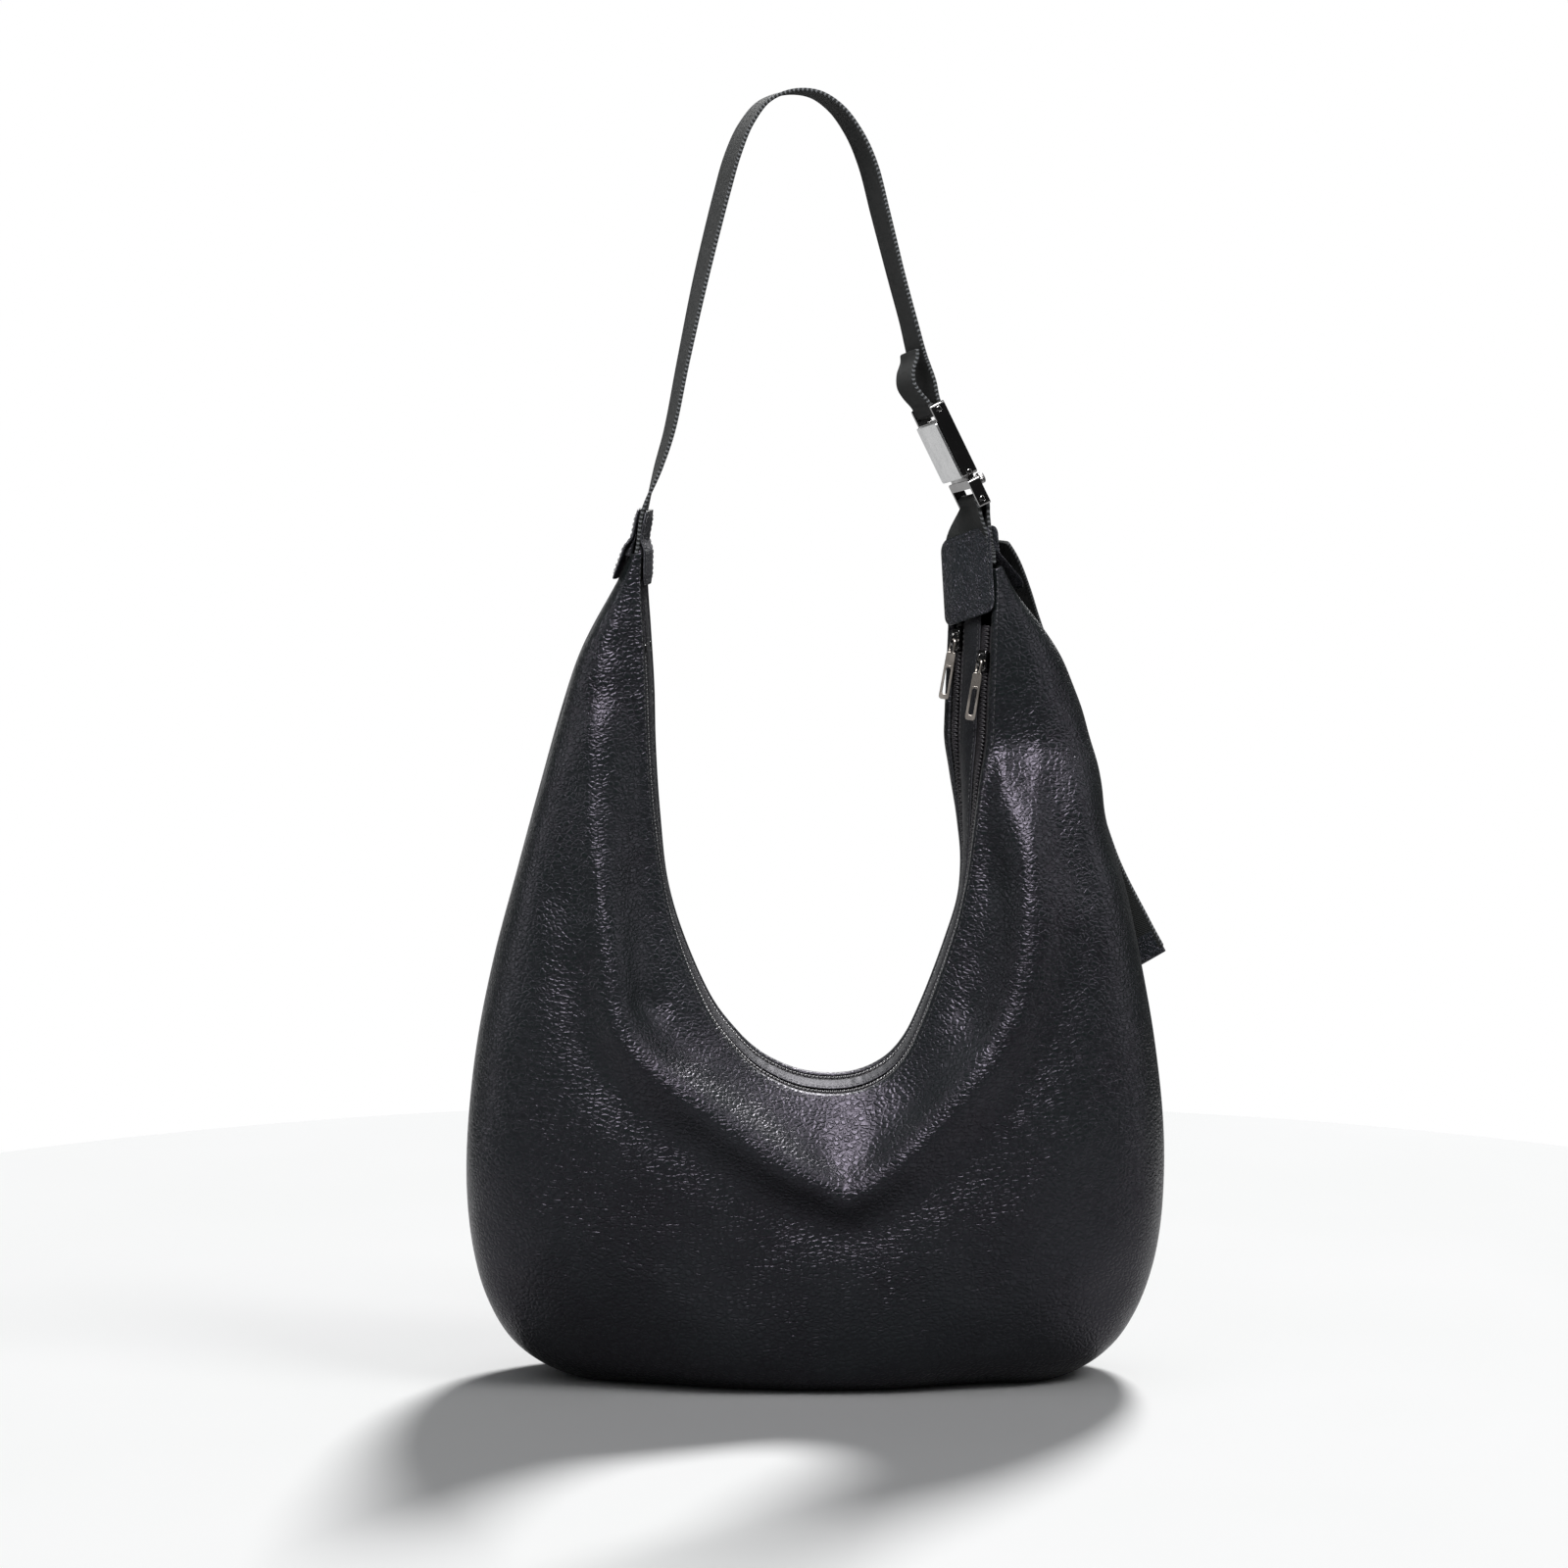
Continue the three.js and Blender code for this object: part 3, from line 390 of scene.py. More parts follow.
# ---------- materials ----------
class Finish:
    """A material around one Principled shader, with short calls for its nodes."""

    def __init__(self, name, **sockets):
        self.material = bpy.data.materials.new(name)
        self.material.use_nodes = True
        self.tree = self.material.node_tree
        self.shader = self.tree.nodes["Principled BSDF"]
        for key, value in sockets.items():
            self.shader.inputs[key.replace("_", " ")].default_value = value

    def node(self, kind, out=0, props=None, **inputs):
        made = self.tree.nodes.new("ShaderNode" + kind)
        for key, value in (props or {}).items():
            setattr(made, key, value)
        for key, value in inputs.items():
            numbered = key[0] == "i" and key[1:].isdigit()
            socket = made.inputs[int(key[1:]) if numbered else key.replace("_", " ")]
            if isinstance(value, bpy.types.NodeSocket):
                self.tree.links.new(value, socket)
            else:
                socket.default_value = value
        return made.outputs[out]

    def math(self, operation, a, b=0.0, c=0.0, clamp=False):
        return self.node("Math", props={"operation": operation, "use_clamp": clamp}, i0=a, i1=b, i2=c)

    def vector(self, operation, a, b):
        return self.node("VectorMath", props={"operation": operation}, i0=a, i1=b)

    def mix(self, share, a, b):
        """Colour mix; a and b are colours or sockets."""
        made = self.tree.nodes.new("ShaderNodeMix")
        made.data_type = "RGBA"
        for socket, value in ((made.inputs[0], share), (made.inputs[6], a), (made.inputs[7], b)):
            if isinstance(value, bpy.types.NodeSocket):
                self.tree.links.new(value, socket)
            elif socket.type == "RGBA":
                socket.default_value = (*value, 1)
            else:
                socket.default_value = value
        return made.outputs[2]

    def ramp(self, value, low, high, to_low=0.0, to_high=1.0):
        return self.node(
            "MapRange", props={"interpolation_type": "SMOOTHSTEP"},
            Value=value, From_Min=low, From_Max=high, To_Min=to_low, To_Max=to_high,
        )

    def noise(self, scale, detail=3.0, vector=None, roughness=0.55):
        inputs = {"Scale": scale, "Detail": detail, "Roughness": roughness}
        if vector is not None:
            inputs["Vector"] = vector
        return self.node("TexNoise", **inputs)

    def place(self):
        return self.node("TexCoord", out=3)

    def uv(self):
        made = self.tree.nodes.new("ShaderNodeUVMap")
        made.uv_map = "run"
        split = self.tree.nodes.new("ShaderNodeSeparateXYZ")
        self.tree.links.new(made.outputs[0], split.inputs[0])
        return split.outputs[0], split.outputs[1]

    def link(self, socket, name):
        self.tree.links.new(socket, self.shader.inputs[name])

    def bump(self, height, strength, distance, normal=None):
        inputs = {"Strength": strength, "Distance": distance, "Height": height}
        if normal is not None:
            inputs["Normal"] = normal
        return self.node("Bump", **inputs)

    def edges(self):
        """1 on sharp convex edges, 0 elsewhere."""
        point = self.node("NewGeometry", out=7)
        return self.ramp(point, 0.52, 0.6)


def leather(name, dark, light, cell=2.0, stretch=(0.8, 1.0, 1.15), depth=0.28, gloss=0.38, lines=0.5,
            worn=(0.06, 0.06, 0.065), specular=0.27, tint=(0.9, 0.8, 1.0), strength=1.0):
    """Grained leather: cells with valleys between them, longer wrinkle lines, pores, worn edges."""
    f = Finish(name, Specular_IOR_Level=specular, Specular_Tint=(*tint, 1), Sheen_Weight=0.01,
               Sheen_Roughness=0.4)
    cloud = f.node("TexNoise", out=1, Vector=f.place(), Scale=160.0, Detail=2.0)
    warp = f.vector("SUBTRACT", cloud, (0.5,) * 3)
    warped = f.vector("ADD", f.place(), f.vector("MULTIPLY", warp, (0.0022,) * 3))
    scaled = f.vector("MULTIPLY", warped, stretch)
    cells = f.node("TexVoronoi", props={"feature": "DISTANCE_TO_EDGE"}, Vector=scaled, Scale=1000 / cell)
    cells = f.ramp(cells, 0.0, 0.3)
    long = f.vector("MULTIPLY", warped, (0.42, 0.8, 1.25))
    wrinkle = f.node("TexVoronoi", props={"feature": "DISTANCE_TO_EDGE"}, Vector=long, Scale=560 / cell)
    wrinkle = f.ramp(wrinkle, 0.0, 0.11)
    patchy = f.ramp(f.noise(26.0, 2.0, f.place()), 0.35, 0.65)
    filled = f.math("MULTIPLY", f.math("SUBTRACT", 1.0, wrinkle), patchy)
    wrinkle = f.math("ADD", wrinkle, filled, clamp=True)
    pores = f.noise(2400.0, 3.0, f.place())
    height = f.math("MULTIPLY_ADD", cells, 1.0 - lines * 0.5, f.math("MULTIPLY", wrinkle, lines))
    relief = f.math("MULTIPLY_ADD", pores, 0.07, height)
    f.link(f.bump(relief, strength, depth * MM), "Normal")
    cloudy = f.ramp(f.noise(13.0, 4.0, f.place()), 0.3, 0.7)
    base = f.mix(f.math("MULTIPLY", height, 0.75), dark, light)
    base = f.mix(f.math("MULTIPLY", cloudy, 0.35), base, tuple(c * 1.5 for c in light))
    f.link(f.mix(f.math("MULTIPLY", f.edges(), 0.5), base, worn), "Base Color")
    rough = f.math("MULTIPLY_ADD", f.noise(70.0, 3.0, f.place()), 0.1, gloss - 0.05)
    f.link(f.math("MULTIPLY_ADD", f.math("SUBTRACT", 1.0, height), 0.12, rough, clamp=True), "Roughness")
    return f.material


def woven(name, dark, light, along, across, depth, edge=None, twill=False, rough=0.8, sheen=0.25):
    """Webbing or tape: threads over and under in metres along and across, with an optional selvedge."""
    f = Finish(name, Specular_IOR_Level=0.3, Sheen_Weight=sheen, Sheen_Roughness=0.45)
    run, width = f.uv()
    u = f.math("MULTIPLY", run, 2 * math.pi / (along * MM))
    v = f.math("MULTIPLY", width, 2 * math.pi / (across * MM))
    if twill:
        wave = f.math("SINE", f.math("ADD", u, v))
    else:
        wave = f.math("MULTIPLY", f.math("SINE", u), f.math("SINE", v))
    height = f.ramp(wave, -0.9, 0.9)
    fibre = f.noise(5200.0, 2.0, f.place())
    cloudy = f.ramp(f.noise(34.0, 4.0, f.place()), 0.3, 0.7)
    shade = f.math("MULTIPLY_ADD", cloudy, 0.35, f.math("MULTIPLY", height, 0.65))
    colour = f.mix(shade, dark, light)
    if edge:
        start, shade_colour, pitch = edge
        side = f.ramp(f.math("ABSOLUTE", width), (start - 0.3) * MM, (start + 0.2) * MM)
        slant = f.math("MULTIPLY_ADD", width, 0.8, run)
        rope = f.math("SINE", f.math("MULTIPLY", slant, 2 * math.pi / (pitch * MM)))
        rope = f.ramp(rope, -0.2, 0.6)
        colour = f.mix(f.math("MULTIPLY", side, rope), colour, shade_colour)
        inner = f.math("MULTIPLY", height, f.math("SUBTRACT", 1.0, side))
        height = f.math("ADD", inner, f.math("MULTIPLY", side, rope))
    f.link(f.mix(f.math("MULTIPLY", f.edges(), 0.25), colour, (0.09, 0.09, 0.09)), "Base Color")
    f.link(f.math("MULTIPLY_ADD", fibre, 0.2, rough - 0.1, clamp=True), "Roughness")
    f.link(f.bump(f.math("MULTIPLY_ADD", fibre, 0.25, height), 0.9, depth * MM), "Normal")
    return f.material


def cloth(name, dark, light, pitch):
    """Lining cloth, woven in the object's own space."""
    f = Finish(name, Specular_IOR_Level=0.2, Sheen_Weight=0.2, Sheen_Roughness=0.5)
    split = f.tree.nodes.new("ShaderNodeSeparateXYZ")
    f.tree.links.new(f.place(), split.inputs[0])
    k = 2 * math.pi / (pitch * MM)
    threads = [f.math("SINE", f.math("MULTIPLY", split.outputs[i], k)) for i in (0, 2)]
    height = f.ramp(f.math("MULTIPLY", *threads), -0.8, 0.8)
    tone = f.math("MULTIPLY_ADD", f.noise(40.0, 4.0, f.place()), 0.5, f.math("MULTIPLY", height, 0.5))
    f.link(f.mix(tone, dark, light), "Base Color")
    f.link(f.math("MULTIPLY_ADD", height, 0.1, 0.78), "Roughness")
    f.link(f.bump(height, 0.7, 0.12 * MM), "Normal")
    return f.material


def metal(name, colour, gloss, brush=None, dull=(0.03, 0.03, 0.032), wear=(0.5, 0.5, 0.5)):
    """Plated metal: faint haze, fine scratches along brush, brighter worn edges."""
    f = Finish(name, Metallic=1.0)
    haze = f.ramp(f.noise(60.0, 5.0, f.place()), 0.35, 0.75)
    stretched = f.vector("MULTIPLY", f.place(), brush or (1.0, 1.0, 1.0))
    scratch = f.noise(2600.0, 4.0, stretched)
    base = f.mix(f.math("MULTIPLY", haze, 0.3), colour, dull)
    f.link(f.mix(f.math("MULTIPLY", f.edges(), 0.4), base, wear), "Base Color")
    rough = f.math("MULTIPLY_ADD", scratch, 0.5 * gloss, 0.7 * gloss)
    f.link(f.math("MULTIPLY_ADD", haze, 0.5 * gloss, rough, clamp=True), "Roughness")
    f.link(f.bump(scratch, 0.35 if brush else 0.08, 0.03 * MM), "Normal")
    return f.material


def thread(name, dark, light):
    f = Finish(name, Specular_IOR_Level=0.35, Sheen_Weight=0.15, Sheen_Roughness=0.4)
    split = f.tree.nodes.new("ShaderNodeSeparateXYZ")
    f.tree.links.new(f.place(), split.inputs[0])
    lay = f.math("ADD", f.math("ADD", split.outputs[0], split.outputs[1]), split.outputs[2])
    twist = f.ramp(f.math("SINE", f.math("MULTIPLY", lay, 2 * math.pi / (0.5 * MM))), -0.7, 0.7)
    tone = f.math("MULTIPLY_ADD", f.noise(300.0, 2.0, f.place()), 0.4, f.math("MULTIPLY", twist, 0.5))
    f.link(f.mix(tone, dark, light), "Base Color")
    f.link(f.math("MULTIPLY_ADD", twist, 0.15, 0.45), "Roughness")
    f.link(f.bump(twist, 0.6, 0.08 * MM), "Normal")
    return f.material


def moulded(name, dark, light, rough, grain=900.0):
    """Nylon, edge paint or fibreboard: mottled colour over a fine surface."""
    f = Finish(name, Specular_IOR_Level=0.5)
    fine = f.noise(grain, 4.0, f.place())
    f.link(f.mix(f.ramp(f.noise(45.0, 4.0, f.place()), 0.3, 0.7), dark, light), "Base Color")
    f.link(f.math("MULTIPLY_ADD", fine, 0.3, rough - 0.15, clamp=True), "Roughness")
    f.link(f.bump(fine, 0.4, 0.06 * MM), "Normal")
    return f.material


SKIN = leather("grained_leather", (0.0003, 0.0004, 0.0005), (0.0042, 0.0062, 0.006), gloss=0.33, cell=2.6,
               stretch=(0.8, 0.95, 1.1), depth=0.3, lines=0.45, strength=0.84, specular=0.33)
STRIP_SKIN = leather("strip_leather", (0.0016, 0.0022, 0.0022), (0.0055, 0.0072, 0.007), cell=1.3,
                     depth=0.16, gloss=0.5, lines=0.25, specular=0.3)
TAB_SKIN = leather("tab_leather", (0.0025, 0.0035, 0.004), (0.0085, 0.0115, 0.0125), cell=1.5,
                   stretch=(1.4, 1.4, 0.42), depth=0.45, gloss=0.42, lines=0.8, specular=0.36,
                   strength=1.6)
EDGE_PAINT = moulded("edge_paint", (0.004, 0.005, 0.006), (0.012, 0.014, 0.016), 0.24)
TAPE_WEAVE = woven("zip_tape_weave", (0.004, 0.003, 0.0045), (0.014, 0.0105, 0.015), 0.9, 1.1, 0.14,
                   twill=True, sheen=0.05)
WEBBING_WEAVE = woven("strap_weave", (0.0012, 0.0015, 0.0015), (0.0055, 0.0068, 0.0066), 1.6, 1.5, 0.3,
                      edge=(18.1, (0.07, 0.073, 0.078), 2.3), sheen=0.015)
LINING_CLOTH = cloth("lining_cloth", (0.02, 0.02, 0.021), (0.05, 0.05, 0.052), 0.8)
COIL_NYLON = moulded("zip_nylon", (0.008, 0.007, 0.009), (0.02, 0.018, 0.021), 0.35)
BOARD_FIBRE = moulded("board_fibre", (0.05, 0.04, 0.03), (0.11, 0.09, 0.07), 0.85, 300.0)
THREAD = thread("sewing_thread", (0.008, 0.008, 0.009), (0.05, 0.05, 0.054))
GUNMETAL = metal("black_nickel", (0.16, 0.155, 0.155), 0.13)
PLATE = metal("polished_plate", (0.62, 0.625, 0.63), 0.24, brush=(0.3, 6.0, 0.3), dull=(0.5, 0.5, 0.51),
              wear=(0.8, 0.8, 0.8))
PULL_METAL = metal("brushed_pull", (0.36, 0.325, 0.295), 0.3, brush=(8.0, 8.0, 0.6),
                   dull=(0.2, 0.18, 0.165))


# ---------- camera, floor and light ----------
def aim(obj, place_at, target):
    obj.location = place_at
    obj.rotation_mode = "QUATERNION"
    obj.rotation_quaternion = (Vector(target) - Vector(place_at)).to_track_quat("-Z", "Y")


camera = bpy.data.objects.new("camera", bpy.data.cameras.new("camera"))
camera.data.lens = 104.4
camera.data.sensor_width = 36.0
camera.data.clip_start = 0.1
camera.data.clip_end = 50.0
aim(camera, (-0.0195, -2.4, 0.56), (-0.0192, 0.0, 0.3172))
bpy.context.scene.collection.objects.link(camera)
bpy.context.scene.camera = camera
bpy.context.scene.view_settings.view_transform = "Standard"


def soft_light(name, at, target, size, power, colour=(1, 1, 1)):
    light = bpy.data.lights.new(name, "AREA")
    light.shape = "RECTANGLE"
    light.size, light.size_y = size
    light.energy = power
    light.color = colour
    obj = bpy.data.objects.new(name, light)
    aim(obj, at, target)
    obj.light_linking.receiver_collection = not_on_floor
    bpy.context.scene.collection.objects.link(obj)


def distant_lamp(name, energy, degrees, direction):
    lamp = bpy.data.lights.new(name, "SUN")
    lamp.energy = energy
    lamp.angle = math.radians(degrees)
    obj = bpy.data.objects.new(name, lamp)
    aim(obj, direction, (0, 0, 0))
    bpy.context.scene.collection.objects.link(obj)


BAG_MIDDLE = (0, 0, 0.25)
not_on_floor = bpy.data.collections.new("not_on_floor")
soft_light("top_front", (-0.1, -0.95, 2.0), BAG_MIDDLE, (1.2, 0.5), 60)
soft_light("front", (-0.25, -1.75, 1.95), BAG_MIDDLE, (0.7, 0.5), 50)
soft_light("right_window", (1.7, -0.35, 0.75), BAG_MIDDLE, (0.6, 1.3), 6)
soft_light("left_window", (-1.7, -0.1, 0.8), BAG_MIDDLE, (0.6, 1.3), 7)
soft_light("top_back", (0.1, 1.0, 1.9), BAG_MIDDLE, (1.2, 0.5), 45)
soft_light("back_window", (0.3, 2.0, 1.2), BAG_MIDDLE, (1.6, 0.7), 16)
soft_light("plate_card", (-0.8, 2.0, 0.1), (0.065, 0, 0.5), (1.5, 1.1), 3.6)
bpy.data.objects["plate_card"].visible_camera = False

distant_lamp("key_behind", 3.1, 11, (0.25, 0.85, 1.05))
distant_lamp("fill_right", 0.5, 24, (1.0, -0.45, 1.25))

world = bpy.data.worlds.new("studio")
world.use_nodes = True
bpy.context.scene.world = world
tree = world.node_tree
lit = tree.nodes["Background"]
sky = tree.nodes.new("ShaderNodeTexCoord")
split = tree.nodes.new("ShaderNodeSeparateXYZ")
rise = tree.nodes.new("ShaderNodeMapRange")
rise.inputs["From Min"].default_value, rise.inputs["From Max"].default_value = 0.15, 0.95
rise.inputs["To Min"].default_value, rise.inputs["To Max"].default_value = 0.035, 0.24
tree.links.new(sky.outputs["Generated"], split.inputs[0])
tree.links.new(split.outputs[2], rise.inputs["Value"])
tree.links.new(rise.outputs[0], lit.inputs["Strength"])
lit.inputs["Color"].default_value = (0.96, 0.98, 1.0, 1)
seen = tree.nodes.new("ShaderNodeBackground")
seen.inputs["Color"].default_value = (1, 1, 1, 1)
either = tree.nodes.new("ShaderNodeMixShader")
tree.links.new(tree.nodes.new("ShaderNodeLightPath").outputs["Is Camera Ray"], either.inputs[0])
tree.links.new(lit.outputs[0], either.inputs[1])
tree.links.new(seen.outputs[0], either.inputs[2])
tree.links.new(either.outputs[0], tree.nodes["World Output"].inputs["Surface"])

FLOOR_RADIUS, FLOOR_LEVEL = 850.0, -0.2


def make_floor():
    f = Finish("floor_paint", Specular_IOR_Level=0.1)
    patchy = f.ramp(f.noise(3.0, 2.0, f.place()), 0.3, 0.7)
    f.link(f.mix(patchy, (0.9, 0.905, 0.9), (0.92, 0.92, 0.92)), "Base Color")
    f.link(f.math("MULTIPLY_ADD", f.noise(30.0, 2.0, f.place()), 0.1, 0.7), "Roughness")
    around = np.linspace(0, 2 * math.pi, 97)[:-1]
    radii = (1.0, 300.0, FLOOR_RADIUS)
    rings = np.array([[(r * math.cos(a), r * math.sin(a), FLOOR_LEVEL) for a in around] for r in radii])
    faces = grid_faces(3, len(around), closed=True) + [list(range(len(around)))]
    floor = make_object("floor", rings, faces, f.material)
    not_on_floor.objects.link(floor)
    not_on_floor.collection_objects[0].light_linking.link_state = "EXCLUDE"


make_floor()


# ---------- leather panels ----------
def crease(points, start, end, width, depth):
    """Amount pushed in along a short crease, in the front view (x, z)."""
    a, b = np.array(start, float), np.array(end, float)
    flat = points[..., [0, 2]]
    run = b - a
    t = np.clip(((flat - a) @ run) / (run @ run), 0, 1)
    away = np.linalg.norm(flat - (a + t[..., None] * run), axis=-1)
    ends = np.sin(math.pi * np.clip(t, 0.04, 0.96)) ** 0.6
    return depth * ends * np.exp(-((away / width) ** 2))


FRONT_CREASES = (
    ((-132, 352), (-104, 372), 9, 2.0), ((-98, 212), (-74, 200), 8, 3.0),
    ((50, 186), (44, 156), 7, 1.6), ((88, 300), (92, 250), 9, 1.6),
    ((72, 208), (94, 188), 10, 1.6), ((118, 330), (148, 250), 11, 2.0),
    ((-150, 120), (-116, 94), 18, 1.4), ((138, 132), (168, 94), 16, 1.4), ((-172, 60), (-136, 36), 13, 1.2),
    ((138, 38), (174, 66), 13, 1.2), ((-60, 96), (20, 88), 16, 1.2), ((60, 104), (110, 132), 15, 1.2),
)
REAR_CREASES = (
    ((-120, 345), (-98, 358), 9, 2.2), ((-104, 212), (-78, 198), 9, 2.6), ((102, 217), (80, 198), 9, 2.6),
    ((84, 332), (104, 316), 9, 1.4), ((-42, 167), (-28, 138), 9, 1.4), ((48, 177), (36, 148), 9, 1.4),
    ((0, 140), (8, 98), 13, 1.0), ((-150, 110), (-116, 84), 18, 1.2), ((150, 120), (118, 86), 17, 1.2),
)
ROWS_ALONG = 290
ROWS_ACROSS = 84
RAIL = 9.0  # columns over which the relief grows from the hem and from the seam
STILL_ROWS = 14  # rows over which it grows from the ends


def soft_waves(points, side):
    """Gentle unevenness of the hanging leather, in millimetres."""
    amount = np.zeros(points.shape[:2])
    for i in range(points.shape[0]):
        for j in range(points.shape[1]):
            p = Vector(points[i, j]) + Vector((0, 0, 400.0 if side < 0 else 0))
            amount[i, j] = noise.noise(p / 46) * 1.3 + noise.noise(p / 19) * 0.45
    return amount


# Crest of the fold on each side in the front view: x, z, height of the roll, half width of the roll
CRESTS = {
    1: (
        (-103, 392, 0.0, 9), (-108, 372, 2.0, 10), (-112, 353, 4.2, 12), (-110, 320, 4.4, 13),
        (-110, 290, 4.2, 13), (-109, 262, 4.2, 12), (-107, 232, 4.4, 11), (-105, 205, 5.2, 10),
        (-98, 186, 5.8, 10), (-78, 167, 6.4, 11), (-48, 145, 6.6, 11), (-17, 122, 6.0, 10),
        (4, 111, 5.2, 9), (16, 105, 5.0, 9), (28, 112, 5.0, 9), (44.4, 125, 4.8, 10),
        (64.9, 145.6, 4.6, 11), (84.4, 168, 4.6, 11), (101, 195, 4.6, 11), (111, 226.5, 4.8, 12),
        (113.5, 254, 4.8, 12), (109, 285, 4.8, 12), (101, 312, 4.4, 11), (94, 330, 3.0, 10),
        (90, 344, 0.0, 9),
    ),
    -1: (
        (-104, 396, 0.0, 9), (-111, 350, 2.2, 11), (-107, 290, 2.6, 12), (-104, 240, 2.6, 12),
        (-98, 205, 2.8, 11), (-68, 160, 2.6, 11), (-26, 124, 2.6, 11), (6, 108, 2.6, 11),
        (44, 128, 2.6, 11), (78, 166, 2.6, 11), (100, 214, 2.6, 11), (108, 262, 2.6, 12),
        (108, 312, 2.2, 12), (110, 362, 0.0, 10),
    ),
}


def fold_relief(points, side):
    """The fold stands proud in a soft roll, hollow above it and a little below it."""
    path = np.array(CRESTS[side], float)
    even = np.linspace(0, len(path) - 1, 400)
    slopes = np.gradient(path, axis=0)
    i = np.minimum(even.astype(int), len(path) - 2)
    t = (even - i)[:, None]
    line = hermite(t, path[i], path[i + 1], slopes[i], slopes[i + 1])
    flat = points[..., [0, 2]].reshape(-1, 2)
    nearest = np.argmin(((flat[:, None] - line[None, :, :2]) ** 2).sum(-1), axis=1)
    offset = flat - line[nearest, :2]
    along = np.gradient(line[:, :2], axis=0)[nearest]
    outer = np.sign(along[:, 1] * offset[:, 0] - along[:, 0] * offset[:, 1]) * -1.0
    away = outer * np.linalg.norm(offset, axis=-1)
    high, wide = line[nearest, 2], line[nearest, 3]
    roll = np.exp(-((away / wide) ** 2))
    hollow = 0.34 * np.exp(-(((away + 2.1 * wide) / (1.1 * wide)) ** 2))
    under = 0.12 * np.exp(-(((away - 2.0 * wide) / (0.9 * wide)) ** 2))
    return (high * (roll - hollow - under)).reshape(points.shape[:2])


def panel_grid(side):
    band = Band(np.linspace(0, LAST, ROWS_ALONG))
    share, depth = skin_profile(band, side, ROWS_ACROSS, SEAM_GAP)
    skin = band.section(share, depth)
    hem = band.at(np.stack([side * (band.half - HEM), side * (band.half - 0.4 * HEM)], -1), [[0.0, 0.25]])
    grid = np.concatenate([hem, skin], axis=1)
    normals = grid_normals(grid) * side
    away = np.arange(grid.shape[1], dtype=float)
    free = smoothstep((away - 3) / RAIL) * smoothstep((away[-1] - away - 1) / RAIL)
    rows = np.arange(ROWS_ALONG)
    ends = smoothstep(np.minimum(rows, ROWS_ALONG - 1 - rows) / STILL_ROWS)
    amount = soft_waves(grid, side)
    amount += fold_relief(grid, side)
    for one in FRONT_CREASES if side > 0 else REAR_CREASES:
        amount -= crease(grid, *one)
    lifted = grid + normals * (amount * free[None] * ends[:, None])[..., None]
    lifted[..., 2] = np.maximum(lifted[..., 2], np.where(grid[..., 2] <= 0.01, 0, 0.01))
    return lifted


panels = {}
for name, side in SIDES:
    grid = panels[name] = panel_grid(side)
    points, faces = shell(grid, 0, -LEATHER * side)
    piece = make_object(f"{name}_leather", points, faces, SKIN, levels=1)
    place(piece, "bag", "leather", f"{name}_panel")


# ---------- stitching along the mouth and the seams ----------
HEM_STITCH_COLUMN = 3  # about 3 mm below the band's edge
for name, side in SIDES:
    row = panels[name][:, HEM_STITCH_COLUMN]
    normals = grid_normals(panels[name])[:, HEM_STITCH_COLUMN] * side
    piece = stitches(f"{name}_hem_stitching", [(row[4:-4], normals[4:-4])], THREAD)
    place(piece, "bag", "leather")


# ---------- mouth band: centre strip and two zips ----------
fine = Band(np.linspace(0.9, LAST - 0.5, 300))
half_strip = (STRIP_SHARE * fine.half)[:, None]
template = flat_section(1.0, -0.8, 0.8, across=10)
across = np.clip(template[:, 0], -1, 1)[None] * half_strip
level = template[None, :, 1] - 0.8 + 0.9 * (1 - across**2 / half_strip**2)
wobble = np.array([noise.noise(Vector((0.0, w / 3, 7.0))) for w in range(300)])[:, None]
level = level + 0.5 * wobble * (1 - across**2 / half_strip**2)
rings = fine.at(across, level)
points, faces = tube(rings)
strip = make_object("centre_strip_leather", points, faces, STRIP_SKIN, band_uvs(rings, template), levels=1)
place(strip, "bag", "strip_leather", "centre_strip")
sewn = []
for share in (-0.8, 0.8):
    line = fine.at(share * half_strip, 0.25)[:, 0]
    sewn.append((line, fine.out))
piece = stitches("centre_strip_stitching", sewn, THREAD, pitch=3.0, length=2.2, thick=0.38)
place(piece, "bag", "strip_leather")

ZIP_START, ZIP_END = 2.4, 28.85
TAPE = 0.6
COIL_HALF = 2.5
zip_band = Band(np.linspace(ZIP_START - 0.6, ZIP_END, 320))
coil_band = Band(np.linspace(ZIP_START, ZIP_END, 900))


def tape(name, side, inner, outer, node):
    """Zip tape with a raised cord beside the coil; inner and outer are places across the band."""
    share = np.linspace(0, 1, 9)
    cord = 0.35 * np.exp(-((share - 0.18) / 0.1) ** 2)
    top = inner[:, None] + (outer - inner)[:, None] * share
    grid = zip_band.at(side * top, (TAPE_LEVEL + cord)[None])
    under = zip_band.at(side * top[:, ::-1], np.full((1, 9), TAPE_LEVEL - TAPE))
    rings = np.concatenate([grid, under], axis=1)
    width = np.concatenate([share, share[::-1]]) * 12
    points, faces = tube(rings)
    uvs = band_uvs(rings, np.stack([width, width], -1))
    piece = make_object(name, points, faces, TAPE_WEAVE, uvs, levels=1)
    place(piece, "bag", "zip_tape", node)


